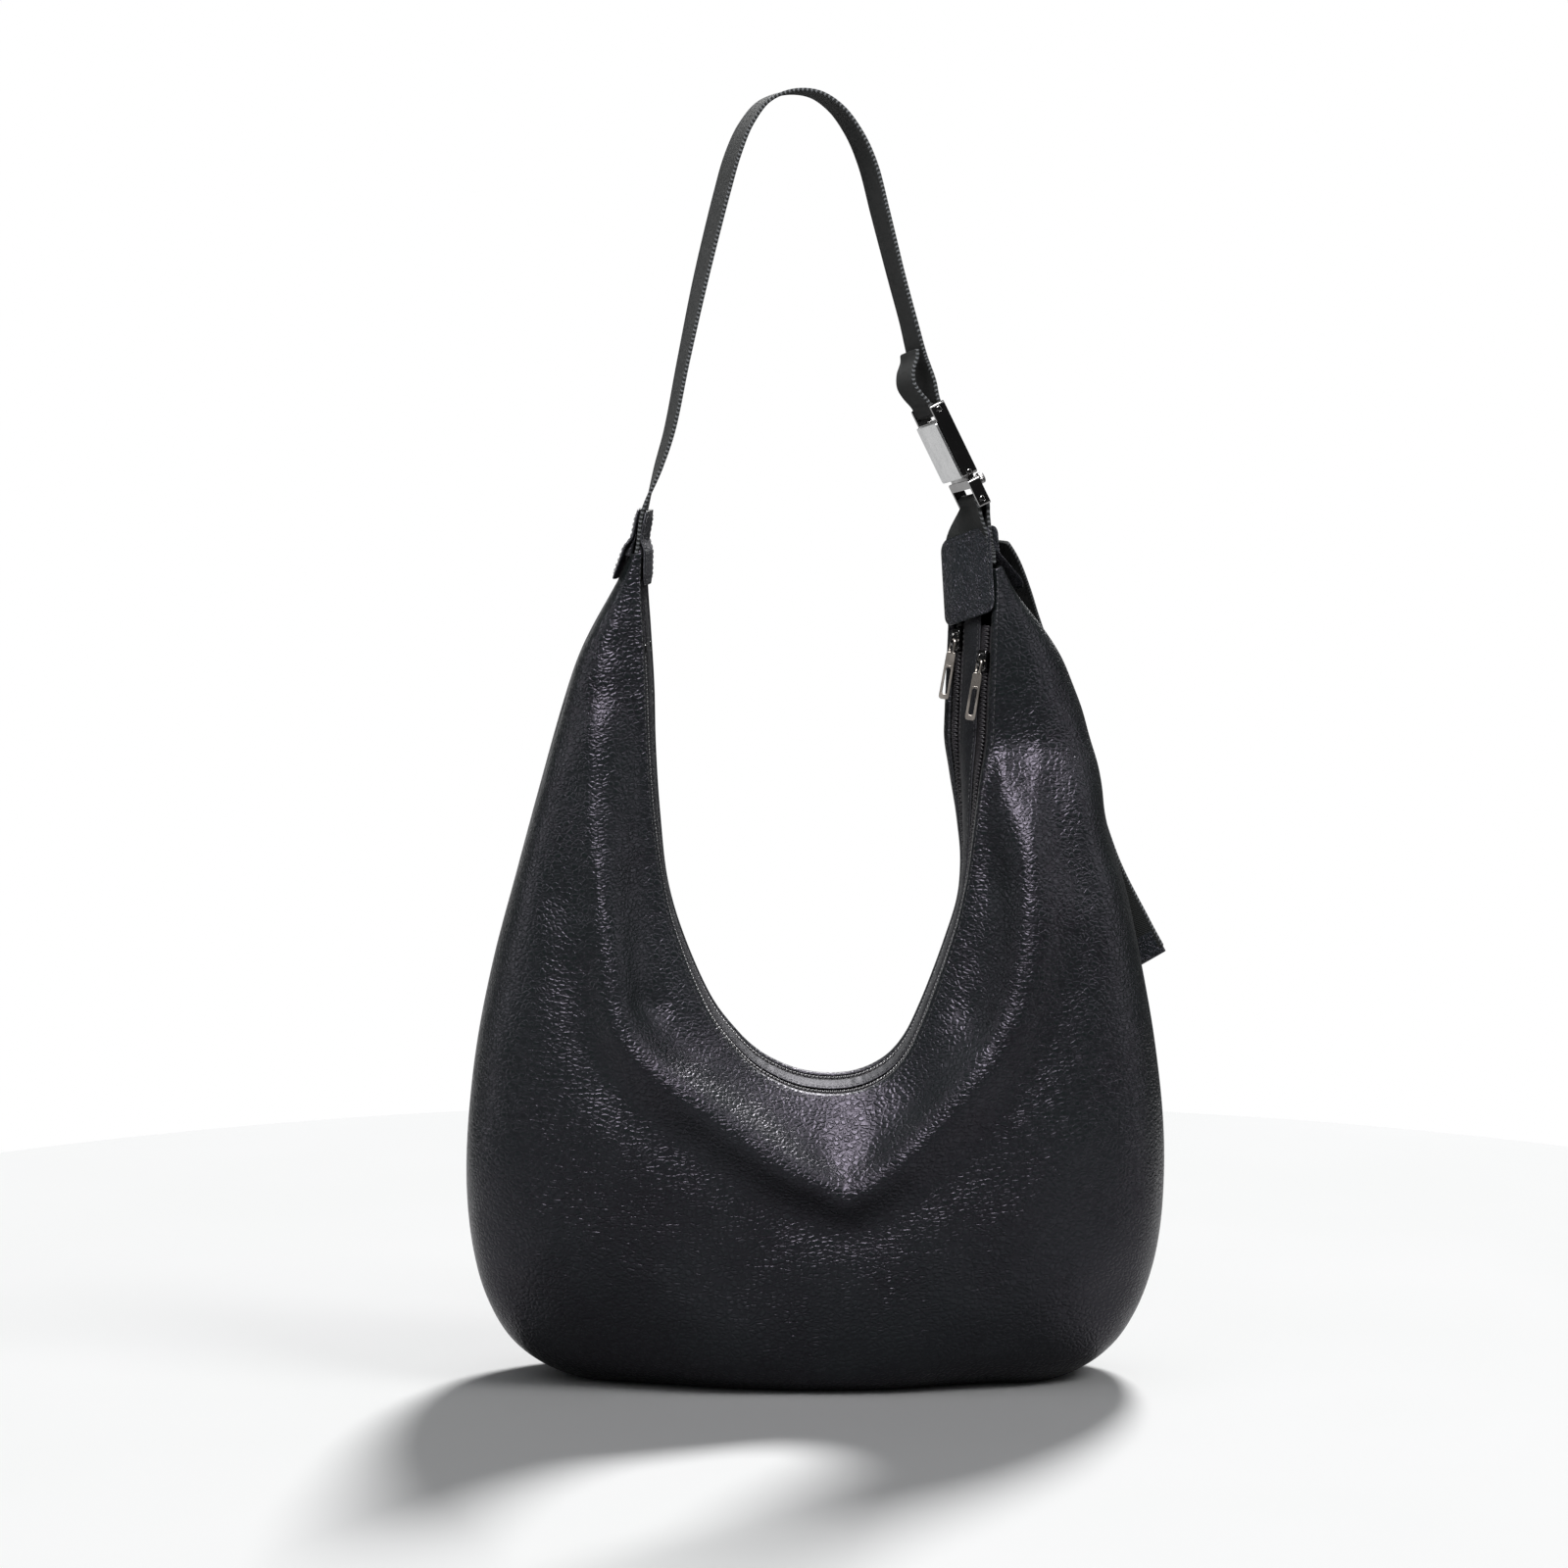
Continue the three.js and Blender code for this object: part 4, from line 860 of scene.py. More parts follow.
def zip_teeth(name, side, node):
    """The two rows of the closed coil, each turn a rounded bead across the middle."""
    centre = coil_band.at(side * coil_band.zip_centre(), -0.9)[:, 0]
    run = run_length(centre)
    count = int(run[-1] / 1.05)
    points, faces = [], []
    for k in range(count):
        s = run[-1] * (k + 0.5) / count
        u = np.interp(s, run, coil_band.u)
        i = int(np.interp(u, coil_band.u, np.arange(len(coil_band.u))))
        shift = 0.42 if k % 2 else -0.42
        lean = 0.16 if k % 2 else -0.16
        axis = unit(coil_band.front[i] * side + coil_band.along[i] * lean)
        up = coil_band.out[i]
        third = np.cross(up, axis)
        at = along_line(s, run, centre) + coil_band.front[i] * side * shift
        local = BEAD_POINTS * [COIL_HALF - 0.45, 0.5, 0.98]
        first = len(points) * len(BEAD_POINTS)
        points.append(at + local @ np.stack([axis, third, up]))
        faces += [[first + n for n in f] for f in BEAD_FACES]
    piece = make_object(name, np.concatenate(points), faces, COIL_NYLON)
    place(piece, "bag", "zip_coil", node)


for name, side in SIDES:
    centre = zip_band.zip_centre()
    edge = zip_band.half - LEATHER - 1.2
    tape(f"{name}_tape_outer", side, centre + 0.3, edge, f"{name}_zip_tape_outer")
    edge = STRIP_SHARE * zip_band.half - 4
    tape(f"{name}_tape_inner", side, centre - 0.3, edge, f"{name}_zip_tape_inner")
    zip_teeth(f"{name}_zip_teeth", side, f"{name}_zip_coil")


# ---------- hardware finishes on the CAD nodes ----------
WELD_GAP = 0.002


def finish_node(name, material, bevel):
    """A carried-over CAD node with a material and softened edges."""
    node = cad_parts[name]
    node.data.materials.clear()
    node.data.materials.append(material)
    weld = node.modifiers.new("weld", "WELD")
    weld.merge_threshold = WELD_GAP * MM
    planes = node.modifiers.new("planes", "DECIMATE")
    planes.decimate_type = "DISSOLVE"
    planes.angle_limit = math.radians(2)
    rounds = node.modifiers.new("rounds", "BEVEL")
    rounds.width = bevel * MM
    rounds.segments = 2
    rounds.limit_method = "ANGLE"
    rounds.angle_limit = math.radians(38)
    rounds.harden_normals = False


def frame_matrix(columns, origin):
    matrix = Matrix.Identity(4)
    for c, column in enumerate(columns):
        for r in range(3):
            matrix[r][c] = column[r]
    matrix.translation = origin
    return np.array(matrix)


def through(matrix, points):
    points = np.asarray(points, float)
    return points @ matrix[:3, :3].T + matrix[:3, 3]


def tab_frame(origin, up, front):
    z = unit(np.array(up, float))
    front = np.array(front, float)
    y = unit(-front + z * (front @ z))
    return frame_matrix((np.cross(y, z), y, z), origin)


buckle_frame = np.array(
    Matrix.Translation((67.6, 0, 498.5)) @ Matrix.Rotation(math.radians(-26.1), 4, "Y")
    @ Matrix.Rotation(math.radians(12.6), 4, "Z")
)
LEFT_TAB = tab_frame((-97, 0, 425), (7.5, 0, 39), (-0.07, -1, 0))
RIGHT_TAB = tab_frame((82.4, 0.3, 430), (-0.06, 0.04, 1), (0.6, -0.8, 0.14))


# ---------- leather tabs ----------
def rounded_half(z, z0, z1, half, radius):
    t = np.maximum(0, radius - np.minimum(z - z0, z1 - z)) / radius
    return half - radius + radius * np.sqrt(np.maximum(1 - np.minimum(t, 0.985) ** 2, 0))


PATCH_RADIUS, PATCH_CREASES = 6.0, 0.5


def patch(name, matrix, z0, z1, half, side, lift, node, seed, skew):
    """Leather patch of a tab: thick sheet with rounded corners, padded middle and small creases."""
    radius = PATCH_RADIUS
    ends = radius * (1 - np.cos(np.linspace(0, math.pi / 2, 9)))
    straight = np.linspace(z0 + radius, z1 - radius, 26)[1:-1]
    heights = np.concatenate([z0 + ends, straight, (z1 - ends)[::-1]])
    section = flat_section(1.0, 0.0, 1.0, across=22)
    halves = rounded_half(heights, z0, z1, half, radius)
    middle = (section[:, 1] - 0.5) * 2
    rings = []
    for z, w in zip(heights, halves):
        y = np.clip(section[:, 0], -1, 1) * w
        inset = np.minimum(np.minimum(w - np.abs(y), z - z0), z1 - z)
        puff = 0.6 * smoothstep((inset - 0.3) / 2.2) - 0.7 * np.exp(-(((inset - 2.9) / 0.75) ** 2))
        wrinkles = np.array([noise.noise(Vector((v / 3.2, z / 17, seed))) for v in y])
        ripple = wrinkles * PATCH_CREASES * smoothstep(inset / 5)
        level = np.where(middle > 0, LEATHER + puff + ripple, 0.0 - 0.1 * puff)
        level = np.where(np.abs(middle) < 0.99, LEATHER * section[:, 1], level)
        rings.append(np.stack([side * (lift(z - skew * y) + level), y, z - skew * y], -1))
    rings = np.array(rings)
    points, faces = tube(rings)
    piece = make_object(name, through(matrix, points), faces, TAB_SKIN, levels=1)
    piece.data.materials.append(EDGE_PAINT)
    for polygon in piece.data.polygons:
        corners = [np.array(piece.data.vertices[i].co) for i in polygon.vertices]
        centre = np.mean(corners, axis=0) / MM - SHIFT
        local = np.linalg.inv(matrix) @ np.append(centre, 1)
        depth = side * local[0] - lift(local[2])
        local[2] += skew * local[1]
        beside = rounded_half(local[2], z0, z1, half, radius) - abs(local[1])
        room = min(beside, local[2] - z0, z1 - local[2])
        if room < 0.35 and 0.2 < depth < LEATHER + 0.1:
            polygon.material_index = 1
    place(piece, "bag", "tab_leather", node)


def patch_stitching(name, matrix, z0, z1, half, side, lift, skew, rows=()):
    """Line of stitches inside the patch's edge, with extra rows across at the given heights."""
    inset, radius = 2.9, 4.0
    y, low, high = half - inset, z0 + inset, z1 - inset
    corner = np.linspace(0, math.pi / 2, 7)
    outline = []
    for cy, cz, start in ((y, low, -0.5), (y, high, 0.0), (-y, high, 0.5), (-y, low, 1.0)):
        for a in corner:
            angle = start * math.pi + a
            sy, sz = math.copysign(1, cy), 1 if cz == high else -1
            middle = (cy - sy * radius, cz - sz * radius)
            outline.append((middle[0] + radius * math.cos(angle), middle[1] + radius * math.sin(angle)))
    outline.append(outline[0])
    lines = [np.array(outline)] + [np.array([(-y, z), (y, z)]) for z in rows]
    sewn = []
    for line in lines:
        run = np.concatenate([[0], np.cumsum(np.hypot(*np.diff(line, axis=0).T))])
        even = np.linspace(0, run[-1], max(int(run[-1] / 1.5), 2))
        ys, zs = np.interp(even, run, line[:, 0]), np.interp(even, run, line[:, 1])
        zs = zs - skew * ys
        xs = np.array([side * (lift(z) + LEATHER + 0.05) for z in zs])
        points = through(matrix, np.stack([xs, ys, zs], -1))
        normal = matrix[:3, 0] * side
        sewn.append((points, np.broadcast_to(normal, points.shape)))
    piece = stitches(name, sewn, THREAD, pitch=2.9, length=2.1, thick=0.42, lift=0.0)
    place(piece, "bag", "tab_leather")


TIP = 17.0  # height in the left tab up to which the bag's shoulder reaches


def left_lift(z):
    return 1.2 + 6.2 * np.maximum(0, 1 - z / 40) ** 1.15 * (1 - smoothstep((z - TIP) / 8))


def right_outer_lift(z):
    return 1.2 + np.maximum(0, 9.5 - z) * 0.98


def right_inner_lift(z):
    return 2.0 + 0 * z


TABS = (
    ("left_tab_inner", LEFT_TAB, 0, 38.5, 21.5, 1, left_lift, 0.0, (), 1.0),
    ("left_tab_outer", LEFT_TAB, 0, 38.5, 21.5, -1, left_lift, 0.0, (), 2.0),
    ("right_tab_inner", RIGHT_TAB, -25, 20.5, 22, -1, right_inner_lift, 0.2, (12.0,), 3.0),
    ("right_tab_outer", RIGHT_TAB, -13, 20.5, 22, 1, right_outer_lift, 0.2, (), 4.0),
)
for name, matrix, z0, z1, half, side, lift, skew, rows, seed in TABS:
    patch(f"{name}_patch", matrix, z0, z1, half, side, lift, name, seed, skew)
    patch_stitching(f"{name}_stitching", matrix, z0, z1, half, side, lift, skew, rows)

# the pointed ends of the panels run up between the left tab's patches, beside the webbing
for side, label in ((1, "inner"), (-1, "outer")):
    rings = []
    for z in np.linspace(13.5, 25.5, 13):
        far = left_lift(z) - 0.1
        near = min(1.0, far - 0.15)
        half = 17.5 - 2.5 * ((z - 13.5) / 12) ** 2
        section = flat_section(half, near, far, across=6)
        rings.append([(side * n, w, z) for w, n in section])
    points, faces = tube(np.array(rings))
    place(make_object(f"shoulder_tip_{label}", through(LEFT_TAB, points), faces, SKIN), "bag", "leather")


# ---------- webbing ----------
def smooth_path(points, count):
    """Centripetal Catmull-Rom curve through rows of numbers whose first three are a place."""
    points = np.array(points, float)
    ends = [2 * points[0] - points[1]], [2 * points[-1] - points[-2]]
    padded = np.concatenate([ends[0], points, ends[1]])
    gaps = np.sqrt(np.linalg.norm(np.diff(padded[:, :3], axis=0), axis=1))
    knots = np.concatenate([[0], np.cumsum(gaps)])
    out = []
    for t in np.linspace(knots[1], knots[-2], count * 4):
        i = min(max(int(np.searchsorted(knots, t, side="right")) - 1, 1), len(points) - 1)
        k = knots[i - 1:i + 3]
        p = padded[i - 1:i + 3]
        level = [p[j] + (p[j + 1] - p[j]) * (t - k[j]) / (k[j + 1] - k[j]) for j in range(3)]
        level = [level[j] + (level[j + 1] - level[j]) * (t - k[j]) / (k[j + 2] - k[j]) for j in range(2)]
        out.append(level[0] + (level[1] - level[0]) * (t - k[1]) / (k[2] - k[1]))
    out = np.array(out)
    run = run_length(out[:, :3])
    even = np.linspace(0, run[-1], count)
    return np.stack([np.interp(even, run, out[:, c]) for c in range(out.shape[1])], -1)


def strap(name, rows, count):
    """Webbing along rows of x, y, z and the direction of its width."""
    path = smooth_path(rows, count)
    at, wide = path[:, :3], path[:, 3:6]
    along = unit(np.gradient(at, axis=0))
    wide = unit(wide - along * np.sum(wide * along, -1, keepdims=True))
    flat = np.cross(along, wide)
    rings = carried(at, wide, flat, WEB_SECTION)
    points, faces = tube(rings)
    return make_object(name, points, faces, WEBBING_WEAVE, band_uvs(rings, WEB_SECTION), levels=1)


WEB_HALF, WEB_HALF_THICK = 19.0, 0.8
WEB_SECTION = flat_section(WEB_HALF, -WEB_HALF_THICK, WEB_HALF_THICK, across=14, rim=0.32)
BAR_WRAP = 2.65  # from a bar's middle to the middle of the webbing round it
TOP_BAR_Z, LOW_BAR_Z, LINK_Z = 17.5, -34.5, -19.0
STRAP_LINE = (
    (-90.2, 462, -0.03), (-83, 484.5, 0.1), (-77, 504, 0.14), (-69.5, 541, 0.16), (-60, 585, 0.2),
    (-49, 629, 0.22), (-43.5, 648, 0.22), (-36.5, 664, 0.2), (-27, 675.5, 0.18), (-14, 680.5, 0.16),
    (-1, 679.5, 0.16), (10, 672.5, 0.18), (19.5, 660, 0.2), (27, 643.5, 0.22), (34, 617, 0.22),
    (42.2, 585, 0.2), (49, 560, 0.2),
)
buckle_wide = -buckle_frame[:3, 1]


def in_buckle(x, y, z):
    return through(buckle_frame, (x, y, z))


def wrap(z, start, stop, steps=10):
    """Points round a bar of the buckle, between two angles in degrees."""
    angles = np.radians(np.linspace(start, stop, steps))
    return [in_buckle(BAR_WRAP * math.cos(a), 0, z + BAR_WRAP * math.sin(a)) for a in angles]


rows = [(*through(LEFT_TAB, (0, 0, z)), 0.0, -1, 0) for z in (8.0, 20.0)]
rows += [(x, 0, z, turn, -1, 0) for x, z, turn in STRAP_LINE]
down = [in_buckle(x, 0, TOP_BAR_Z + z) for x, z in ((6.7, 27), (5.2, 14), (2.65, 4))]
TURNED_END = ((-2.65, 5), (-4.6, 12), (-5, 18), (-2.2, 24), (2.6, 29), (4.4, 33))
up = [in_buckle(x, 0, TOP_BAR_Z + z) for x, z in TURNED_END]
rows += [(*p, *buckle_wide) for p in down + wrap(TOP_BAR_Z, 0, -180) + up]
piece = strap("shoulder_strap", rows, 420)
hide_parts("shoulder_webbing", "left_webbing_root")
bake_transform(piece)

rows = [through(RIGHT_TAB, (-0.9, 0, z)) for z in (3.0, 14.0)]
rows += [in_buckle(-BAR_WRAP, 0, LOW_BAR_Z - 3)] + wrap(LOW_BAR_Z, 180, 0)
rows += [in_buckle(BAR_WRAP, 0, LOW_BAR_Z - 3)] + [through(RIGHT_TAB, (0.9, 0, z)) for z in (14.0, 3.0)]
tab_wide = -RIGHT_TAB[:3, 1]
turn = [tab_wide, tab_wide] + [buckle_wide] * 12 + [tab_wide, tab_wide]
rows = [(*p, *w) for p, w in zip(rows, turn)]
piece = strap("adjusting_strap", rows, 90)
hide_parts("adjusting_webbing", "right_webbing_root")
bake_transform(piece)

TAIL_LINE = (
    (87, 8, 447, 0.62, -0.77, 0.12), (93, 16, 437, 0.68, -0.72, 0.08),
    (98, 28, 422, 0.8, -0.58, 0.04), (104, 40, 402, 0.87, -0.48, 0), (113, 48, 372, 0.93, -0.36, 0),
    (122, 52, 345, 0.93, -0.36, 0), (131, 51, 318, 0.92, -0.38, 0), (149, 45, 265, 0.9, -0.44, 0),
    (166, 38, 232, 0.88, -0.48, 0), (174.5, 35, 217, 0.87, -0.5, 0),
)
piece = strap("tail_strap", TAIL_LINE, 170)
place(piece, "tail", "webbing", "tail_webbing")


# ---------- tail cap ----------
CAP_HALF, CAP_UP, CAP_DOWN, CAP_THICK = 20.0, 11.0, 2.4, 2.0
tail_end, tail_dir = np.array([174.5, 35, 217.0]), unit(np.array([174.5 - 166, 35 - 38, 217.0 - 232]))
cap_frame = tab_frame(tail_end, -tail_dir, (0.87, -0.5, 0))
section = flat_section(1.0, -1.0, 1.0, across=16)
heights = np.array([-CAP_DOWN, -CAP_DOWN + 0.15, -1.9, -1.2, 0, 2, 4, 6, 8, 9.6, 10.5, 10.85, CAP_UP])
rings = []
for z in heights:
    close = min(1.0, math.sqrt(max((z + CAP_DOWN) / 1.6, 0.04)))
    wide = CAP_HALF - (0.7 if z in (heights[0], heights[-1]) else 0.0)
    pinch = 0.25 * math.exp(-(((z - 8.4) / 0.8) ** 2)) + (0.5 if z == heights[-1] else 0.0)
    rings.append([((CAP_THICK - pinch) * close * n, np.clip(w, -1, 1) * wide, z) for w, n in section])
points, faces = tube(np.array(rings))
cap = make_object("tail_cap_leather", through(cap_frame, points), faces, TAB_SKIN, levels=1)
place(cap, "tail", "tab_leather", "tail_cap")
sewn = []
for x in (-1, 1):
    line = through(cap_frame, [(x * (CAP_THICK - 0.1), y, 8.4) for y in np.linspace(-18.5, 18.5, 26)])
    sewn.append((line, np.broadcast_to(cap_frame[:3, 0] * x, line.shape)))
place(stitches("tail_cap_stitching", sewn, THREAD, pitch=2.9, length=2.1), "tail", "tab_leather")


# ---------- lining, divider and slip pocket ----------
def lining_grid(side):
    band = Band(np.linspace(4, 26, 120))
    share, depth = skin_profile(band, side, 42, 1.4)
    grid = band.section(share, depth)[:, 3:]
    grid = grid - grid_normals(grid) * side * 5.6
    for i in range(grid.shape[0]):
        for j in range(2, grid.shape[1] - 1):
            fold = noise.noise(Vector(grid[i, j]) / 24 + Vector((0, 0, side * 9.0)))
            grid[i, j, 1] -= side * -0.9 * (abs(fold) + fold)
    grid[..., 2] = np.maximum(grid[..., 2], 5.6)
    return grid


for name, side in SIDES:
    points, faces = shell(lining_grid(side), -0.35, 0.35)
    cloth_piece = make_object(f"{name}_lining_cloth", points, faces, LINING_CLOTH)
    place(cloth_piece, "bag", "lining", f"{name}_lining")

band = Band(np.linspace(5, 25, 110))
inner = np.linspace(0, 1, 30)[None]
share = 3 / band.length[:, None] + inner * (1 - 17 / band.length[:, None])
wave = 0.5 * np.sin(band.u[:, None] * 1.7 + inner * 5) * np.sin(inner * math.pi)
grid = band.section(share, np.broadcast_to(wave, share.shape))
grid[..., 2] = np.maximum(grid[..., 2], 9)
points, faces = shell(grid, -0.6, 0.6)
divider = make_object("divider_cloth", points, faces, LINING_CLOTH)
place(divider, "bag", "lining", "divider")

POCKET_WIDTH, POCKET_DEPTH, POCKET_LEFT, POCKET_FLOOR = 140, 98, -62, 24
xs = np.linspace(POCKET_LEFT, POCKET_LEFT + POCKET_WIDTH, 60)
zs = np.linspace(POCKET_FLOOR, POCKET_FLOOR + POCKET_DEPTH, 40)
bow = np.sin(math.pi * (xs - POCKET_LEFT) / POCKET_WIDTH)[:, None]
gape = 0.9 * bow * ((zs - POCKET_FLOOR) / POCKET_DEPTH) ** 2
grid = np.stack(np.broadcast_arrays(xs[:, None], 1.7 + gape, zs[None]), -1)
grid[:, -1, 1] += 0.2
points, faces = shell(grid, -0.45, 0.45)
pocket = make_object("slip_pocket_cloth", points, faces, LINING_CLOTH, levels=1)
place(pocket, "bag", "lining", "slip_pocket")
hem = np.stack([xs[1:-1], grid[1:-1, -4, 1] + 0.45, np.full(len(xs) - 2, 115.0)], -1)
outwards = np.broadcast_to([0.0, 1.0, 0.0], hem.shape)
place(stitches("slip_pocket_stitching", [(hem, outwards)], THREAD), "bag", "lining")
finish_node("base_board", BOARD_FIBRE, bevel=0.4)


# ---------- zip sliders, pulls and stops ----------
SLIDER_AT = {"front": 384.0, "rear": 393.0}
PULL_PIVOT, PULL_TILT, GRIP_TURN = 2.6, 9.0, 45.0
HALF_GRIP = [
    (1.5, -6.7), (2.2, -7.0), (2.5, -8.0), (2.75, -29.6), (2.65, -31.0), (2.1, -31.8), (1.3, -32.0),
]
ROD_AROUND = 28


def band_at_height(z):
    many = np.linspace(24, LAST, 4001)
    return Band(np.array([many[np.searchsorted(station(1, many), z)]]))


def lathe(name, profile, material, matrix):
    """Body turned about the local Y axis from (radius, y) pairs."""
    angles = np.linspace(0, 2 * math.pi, ROD_AROUND + 1)[:-1]
    rings = np.array([[(r * math.cos(a), y, r * math.sin(a)) for a in angles] for r, y in profile])
    points, faces = tube(rings)
    return make_object(name, through(matrix, points), faces, material)


def plate_outline(half, low, high, radius, steps=6):
    out = []
    for y, z, start in ((half, low, -90), (half, high, 0), (-half, high, 90), (-half, low, 180)):
        cy, cz = math.copysign(half - radius, y), (low + radius if z == low else high - radius)
        for a in np.radians(np.linspace(start, start + 90, steps)):
            out.append((cy + radius * math.cos(a), cz + radius * math.sin(a)))
    return out


def pressed_plate(name, outline, holes, x0, x1, material, matrix, bevel=0.25):
    """Plate across local X from an outline and holes in (y, z), with rolled edges."""
    curve = bpy.data.curves.new(name, "CURVE")
    curve.dimensions = "2D"
    curve.fill_mode = "BOTH"
    for loop in [outline, *holes]:
        spline = curve.splines.new("POLY")
        spline.points.add(len(loop) - 1)
        for point, (y, z) in zip(spline.points, loop):
            point.co = (y, z, 0, 1)
        spline.use_cyclic_u = True
    curve.extrude = (x1 - x0) / 2 - bevel
    curve.bevel_depth = bevel
    curve.bevel_resolution = 3
    curve.offset = -bevel
    helper = bpy.data.objects.new(name + "_curve", curve)
    bpy.context.scene.collection.objects.link(helper)
    bpy.context.view_layer.update()
    mesh = bpy.data.meshes.new_from_object(helper.evaluated_get(bpy.context.evaluated_depsgraph_get()))
    bpy.data.objects.remove(helper)
    bpy.data.curves.remove(curve)
    middle = (x0 + x1) / 2
    points = np.array([(v.co.z + middle, v.co.x, v.co.y) for v in mesh.vertices])
    faces = [list(p.vertices) for p in mesh.polygons]
    bpy.data.meshes.remove(mesh)
    piece = make_object(name, through(matrix, points), faces, material)
    across = Vector(matrix[:3, 0])
    piece.data.set_sharp_from_angle(angle=math.radians(35))
    for polygon in piece.data.polygons:
        polygon.use_smooth = abs(polygon.normal.dot(across)) < 0.999
    weld = piece.modifiers.new("weld", "WELD")
    weld.merge_threshold = WELD_GAP * MM
    return piece


for name, side in SIDES:
    spot = band_at_height(SLIDER_AT[name])
    centre = spot.origin[0] + spot.front[0] * side * spot.zip_centre()[0]
    on_band = frame_matrix((spot.out[0], spot.front[0], spot.along[0]), centre)
    # the body narrows downwards; its two flanges hold the coil
    shape = [(y * (1.0 + 0.1 * z / 5.5), z) for y, z in plate_outline(3.4, -5.5, 5.5, 2.0)]
    body = pressed_plate(f"{name}_slider_body", shape, [], 0.55, 1.55, GUNMETAL, on_band)
    place(body, f"{name}_slider", "gunmetal", f"{name}_slider")
    for s, label in ((-1, "a"), (1, "b")):
        rail = [(s * 2.85 + dy, z) for dy, z in plate_outline(0.5, -4.4, 4.4, 0.45, 4)]
        flange = f"{name}_slider_flange_{label}"
        piece = pressed_plate(flange, rail, [], -1.5, 1.0, GUNMETAL, on_band, 0.15)
        place(piece, f"{name}_slider", "gunmetal")
    # bridge: an arch over the pull's eye
    arc = np.linspace(0, math.pi, 17)
    line = np.stack([1.4 + 2.7 * np.sin(arc) ** 0.7, 0 * arc, 3.6 * np.cos(arc)], -1)
    along = unit(np.gradient(line, axis=0))
    sideways = np.broadcast_to([0.0, 1.0, 0.0], line.shape)
    section = flat_section(0.9, -0.42, 0.42, across=4)
    points, faces = tube(carried(line, sideways, np.cross(along, sideways), section))
    bridge = make_object(f"{name}_slider_bridge", through(on_band, points), faces, GUNMETAL, levels=1)
    place(bridge, f"{name}_slider", "gunmetal")
    # pull: a plain plate with an eye at the top and a long window
    tilt = Matrix.Rotation(math.radians(-PULL_TILT), 4, "Y")
    hang = on_band @ np.array(Matrix.Translation((PULL_PIVOT, 0, 0)) @ tilt)
    eye, hole = plate_outline(2.3, -7.4, 0.6, 2.2, 9), plate_outline(1.3, -6.1, -0.6, 1.25, 9)
    ring = pressed_plate(f"{name}_pull_ring", eye, [hole], -0.6, 0.6, PULL_METAL, hang, 0.5)
    place(ring, f"{name}_pull", "pull_metal", f"{name}_pull")
    turned_grip = hang @ np.array(Matrix.Rotation(math.radians(GRIP_TURN), 4, "Z"))
    outline = HALF_GRIP[::-1] + [(-y, z) for y, z in HALF_GRIP]
    window = plate_outline(1.3, -29.3, -15.0, 1.15)
    grip = pressed_plate(f"{name}_pull_grip", outline, [window], -0.6, 0.6, PULL_METAL, turned_grip, 0.2)
    place(grip, f"{name}_pull", "pull_metal")
    groove = [(-1.5, -14.4), (1.5, -14.4), (1.5, -14.0), (-1.5, -14.0)]
    bead_line = pressed_plate(f"{name}_pull_bead", groove, [], 0.4, 0.75, PULL_METAL, turned_grip, 0.1)
    place(bead_line, f"{name}_pull", "pull_metal")
    finish_node(f"{name}_zip_stop", GUNMETAL, bevel=0.4)


# ---------- buckle ----------
for node, material, slot in (
    ("buckle_shell", GUNMETAL, "gunmetal"), ("adjuster_frame", GUNMETAL, "gunmetal"),
    ("cam_lever", GUNMETAL, "gunmetal"),
):
    finish_node(node, material, bevel=0.28)

face = plate_outline(21.7, -20.8, 11.5, 1.5)
plate = pressed_plate("buckle_face", face, [], -5.5, -4.3, PLATE, buckle_frame, 0.3)
place(plate, "strap", "plate_metal", "buckle_face_plate")
ring_angles = np.linspace(0, 2 * math.pi, 49)[:-1]
ring = [(6.6 * math.cos(a), -4.5 + 9.3 * math.sin(a)) for a in ring_angles]
ring_hole = [(3.6 * math.cos(a), -5.5 + 6.0 * math.sin(a)) for a in ring_angles]
lever = pressed_plate("release_lever_ring", ring, [ring_hole], 4.2, 7.2, GUNMETAL, buckle_frame, 0.9)
place(lever, "release_lever", "gunmetal", "release_lever")


def at_buckle(x, z, y=0.0):
    return buckle_frame @ np.array(Matrix.Translation((x, y, z)))


def rod(name, radius, length, matrix, body, *nodes):
    """Round bar along the local Y axis with bevelled ends."""
    half, bevel = length / 2, min(0.35, radius * 0.3)
    end = [(radius * 0.35, half), (radius - bevel, half), (radius, half - bevel)]
    profile = [(r, -y) for r, y in end] + [(radius, 0)] + end[::-1]
    piece = lathe(name, profile, GUNMETAL, matrix)
    piece.data.set_sharp_from_angle(angle=math.radians(50))
    place(piece, body, "gunmetal", *nodes)


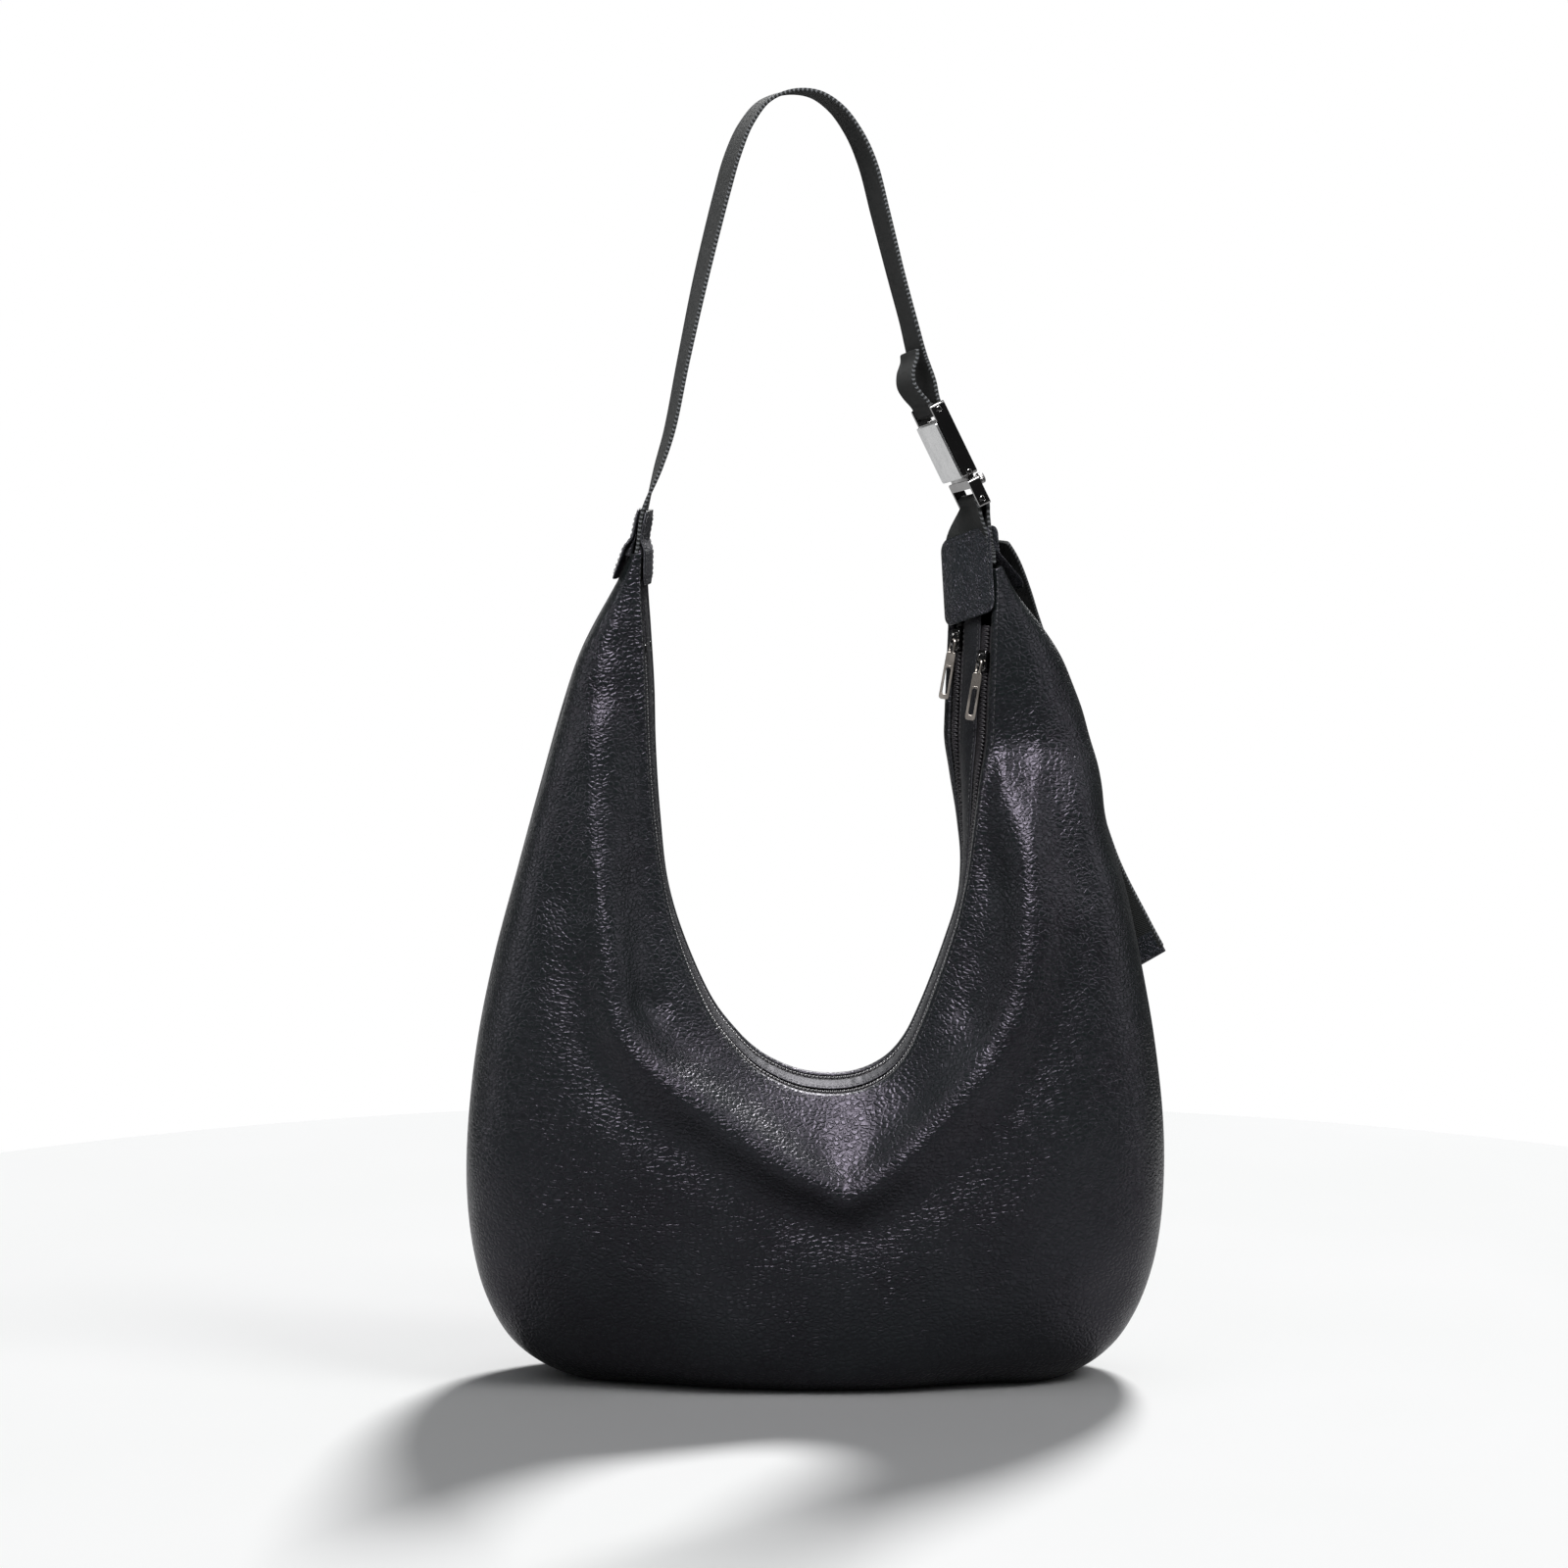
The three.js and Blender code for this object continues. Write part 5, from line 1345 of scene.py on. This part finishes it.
BAR_RADIUS, BAR_LENGTH = 1.5, 43.4
LEVER_X, LEVER_Z = 2.6, 6.0
CAM_X, CAM_Z = 4.9, -25.2
rod("top_bar_rod", BAR_RADIUS, BAR_LENGTH, at_buckle(0, TOP_BAR_Z), "strap", "top_bar")
rod("link_pin_rod", BAR_RADIUS, BAR_LENGTH, at_buckle(0, LINK_Z), "strap", "link_pin")
rod("adjuster_bar_rod", BAR_RADIUS, BAR_LENGTH, at_buckle(0, LOW_BAR_Z), "adjuster", "adjuster_bar")
rod("lever_pin_rod", 0.9, 20, at_buckle(LEVER_X, LEVER_Z), "strap", "lever_pin")
rod("cam_pin_rod", 0.7, 25, at_buckle(CAM_X, CAM_Z), "adjuster", "cam_pin")
rod("release_lever_barrel", 2.3, 9, at_buckle(LEVER_X, LEVER_Z), "release_lever")
SPRING_TURNS, SPRING_RADIUS, SPRING_START, SPRING_LENGTH, WIRE_RADIUS = 5, 1.55, 4.9, 2.6, 0.24
turns = np.linspace(0, SPRING_TURNS * 2 * math.pi, 121)
wire_out = np.stack([np.cos(turns), 0 * turns, np.sin(turns)], -1)
coil = wire_out * SPRING_RADIUS + [LEVER_X, SPRING_START, LEVER_Z]
coil[:, 1] += SPRING_LENGTH * turns / turns[-1]
wire_along = unit(np.gradient(coil, axis=0))
angles = np.linspace(0, 2 * math.pi, 9)[:-1]
circle = WIRE_RADIUS * np.stack([np.cos(angles), np.sin(angles)], -1)
points, faces = tube(carried(coil, wire_out, np.cross(wire_along, wire_out), circle))
piece = make_object("lever_spring_wire", through(buckle_frame, points), faces, PULL_METAL)
place(piece, "strap", "pull_metal", "lever_spring")

# knurled stud beside the cam lever
STUD_AT, STUD_RADIUS, STUD_RIDGES, RIDGE_DEPTH = (5.2, -16.3, -25.0), 3.1, 24, 0.22
STUD_PROFILE = ((-1.7, 0.3), (-1.7, 0.86), (-1.35, 1.0), (0.9, 1.0), (1.35, 0.93), (1.7, 0.7), (1.7, 0.3))
around = np.linspace(0, 2 * math.pi, 145)[:-1]
ridged = STUD_RADIUS - RIDGE_DEPTH * (0.5 + 0.5 * np.cos(around * STUD_RIDGES))
rings = []
for x, size in STUD_PROFILE:
    far = size * (ridged if size == 1.0 else np.full(len(around), STUD_RADIUS))
    rings.append(np.stack([np.full(len(around), x), far * np.cos(around), far * np.sin(around)], -1))
points, faces = tube(np.array(rings) + np.array(STUD_AT))
piece = make_object("lock_stud_knurled", through(buckle_frame, points), faces, GUNMETAL)
place(piece, "adjuster", "gunmetal", "lock_stud")
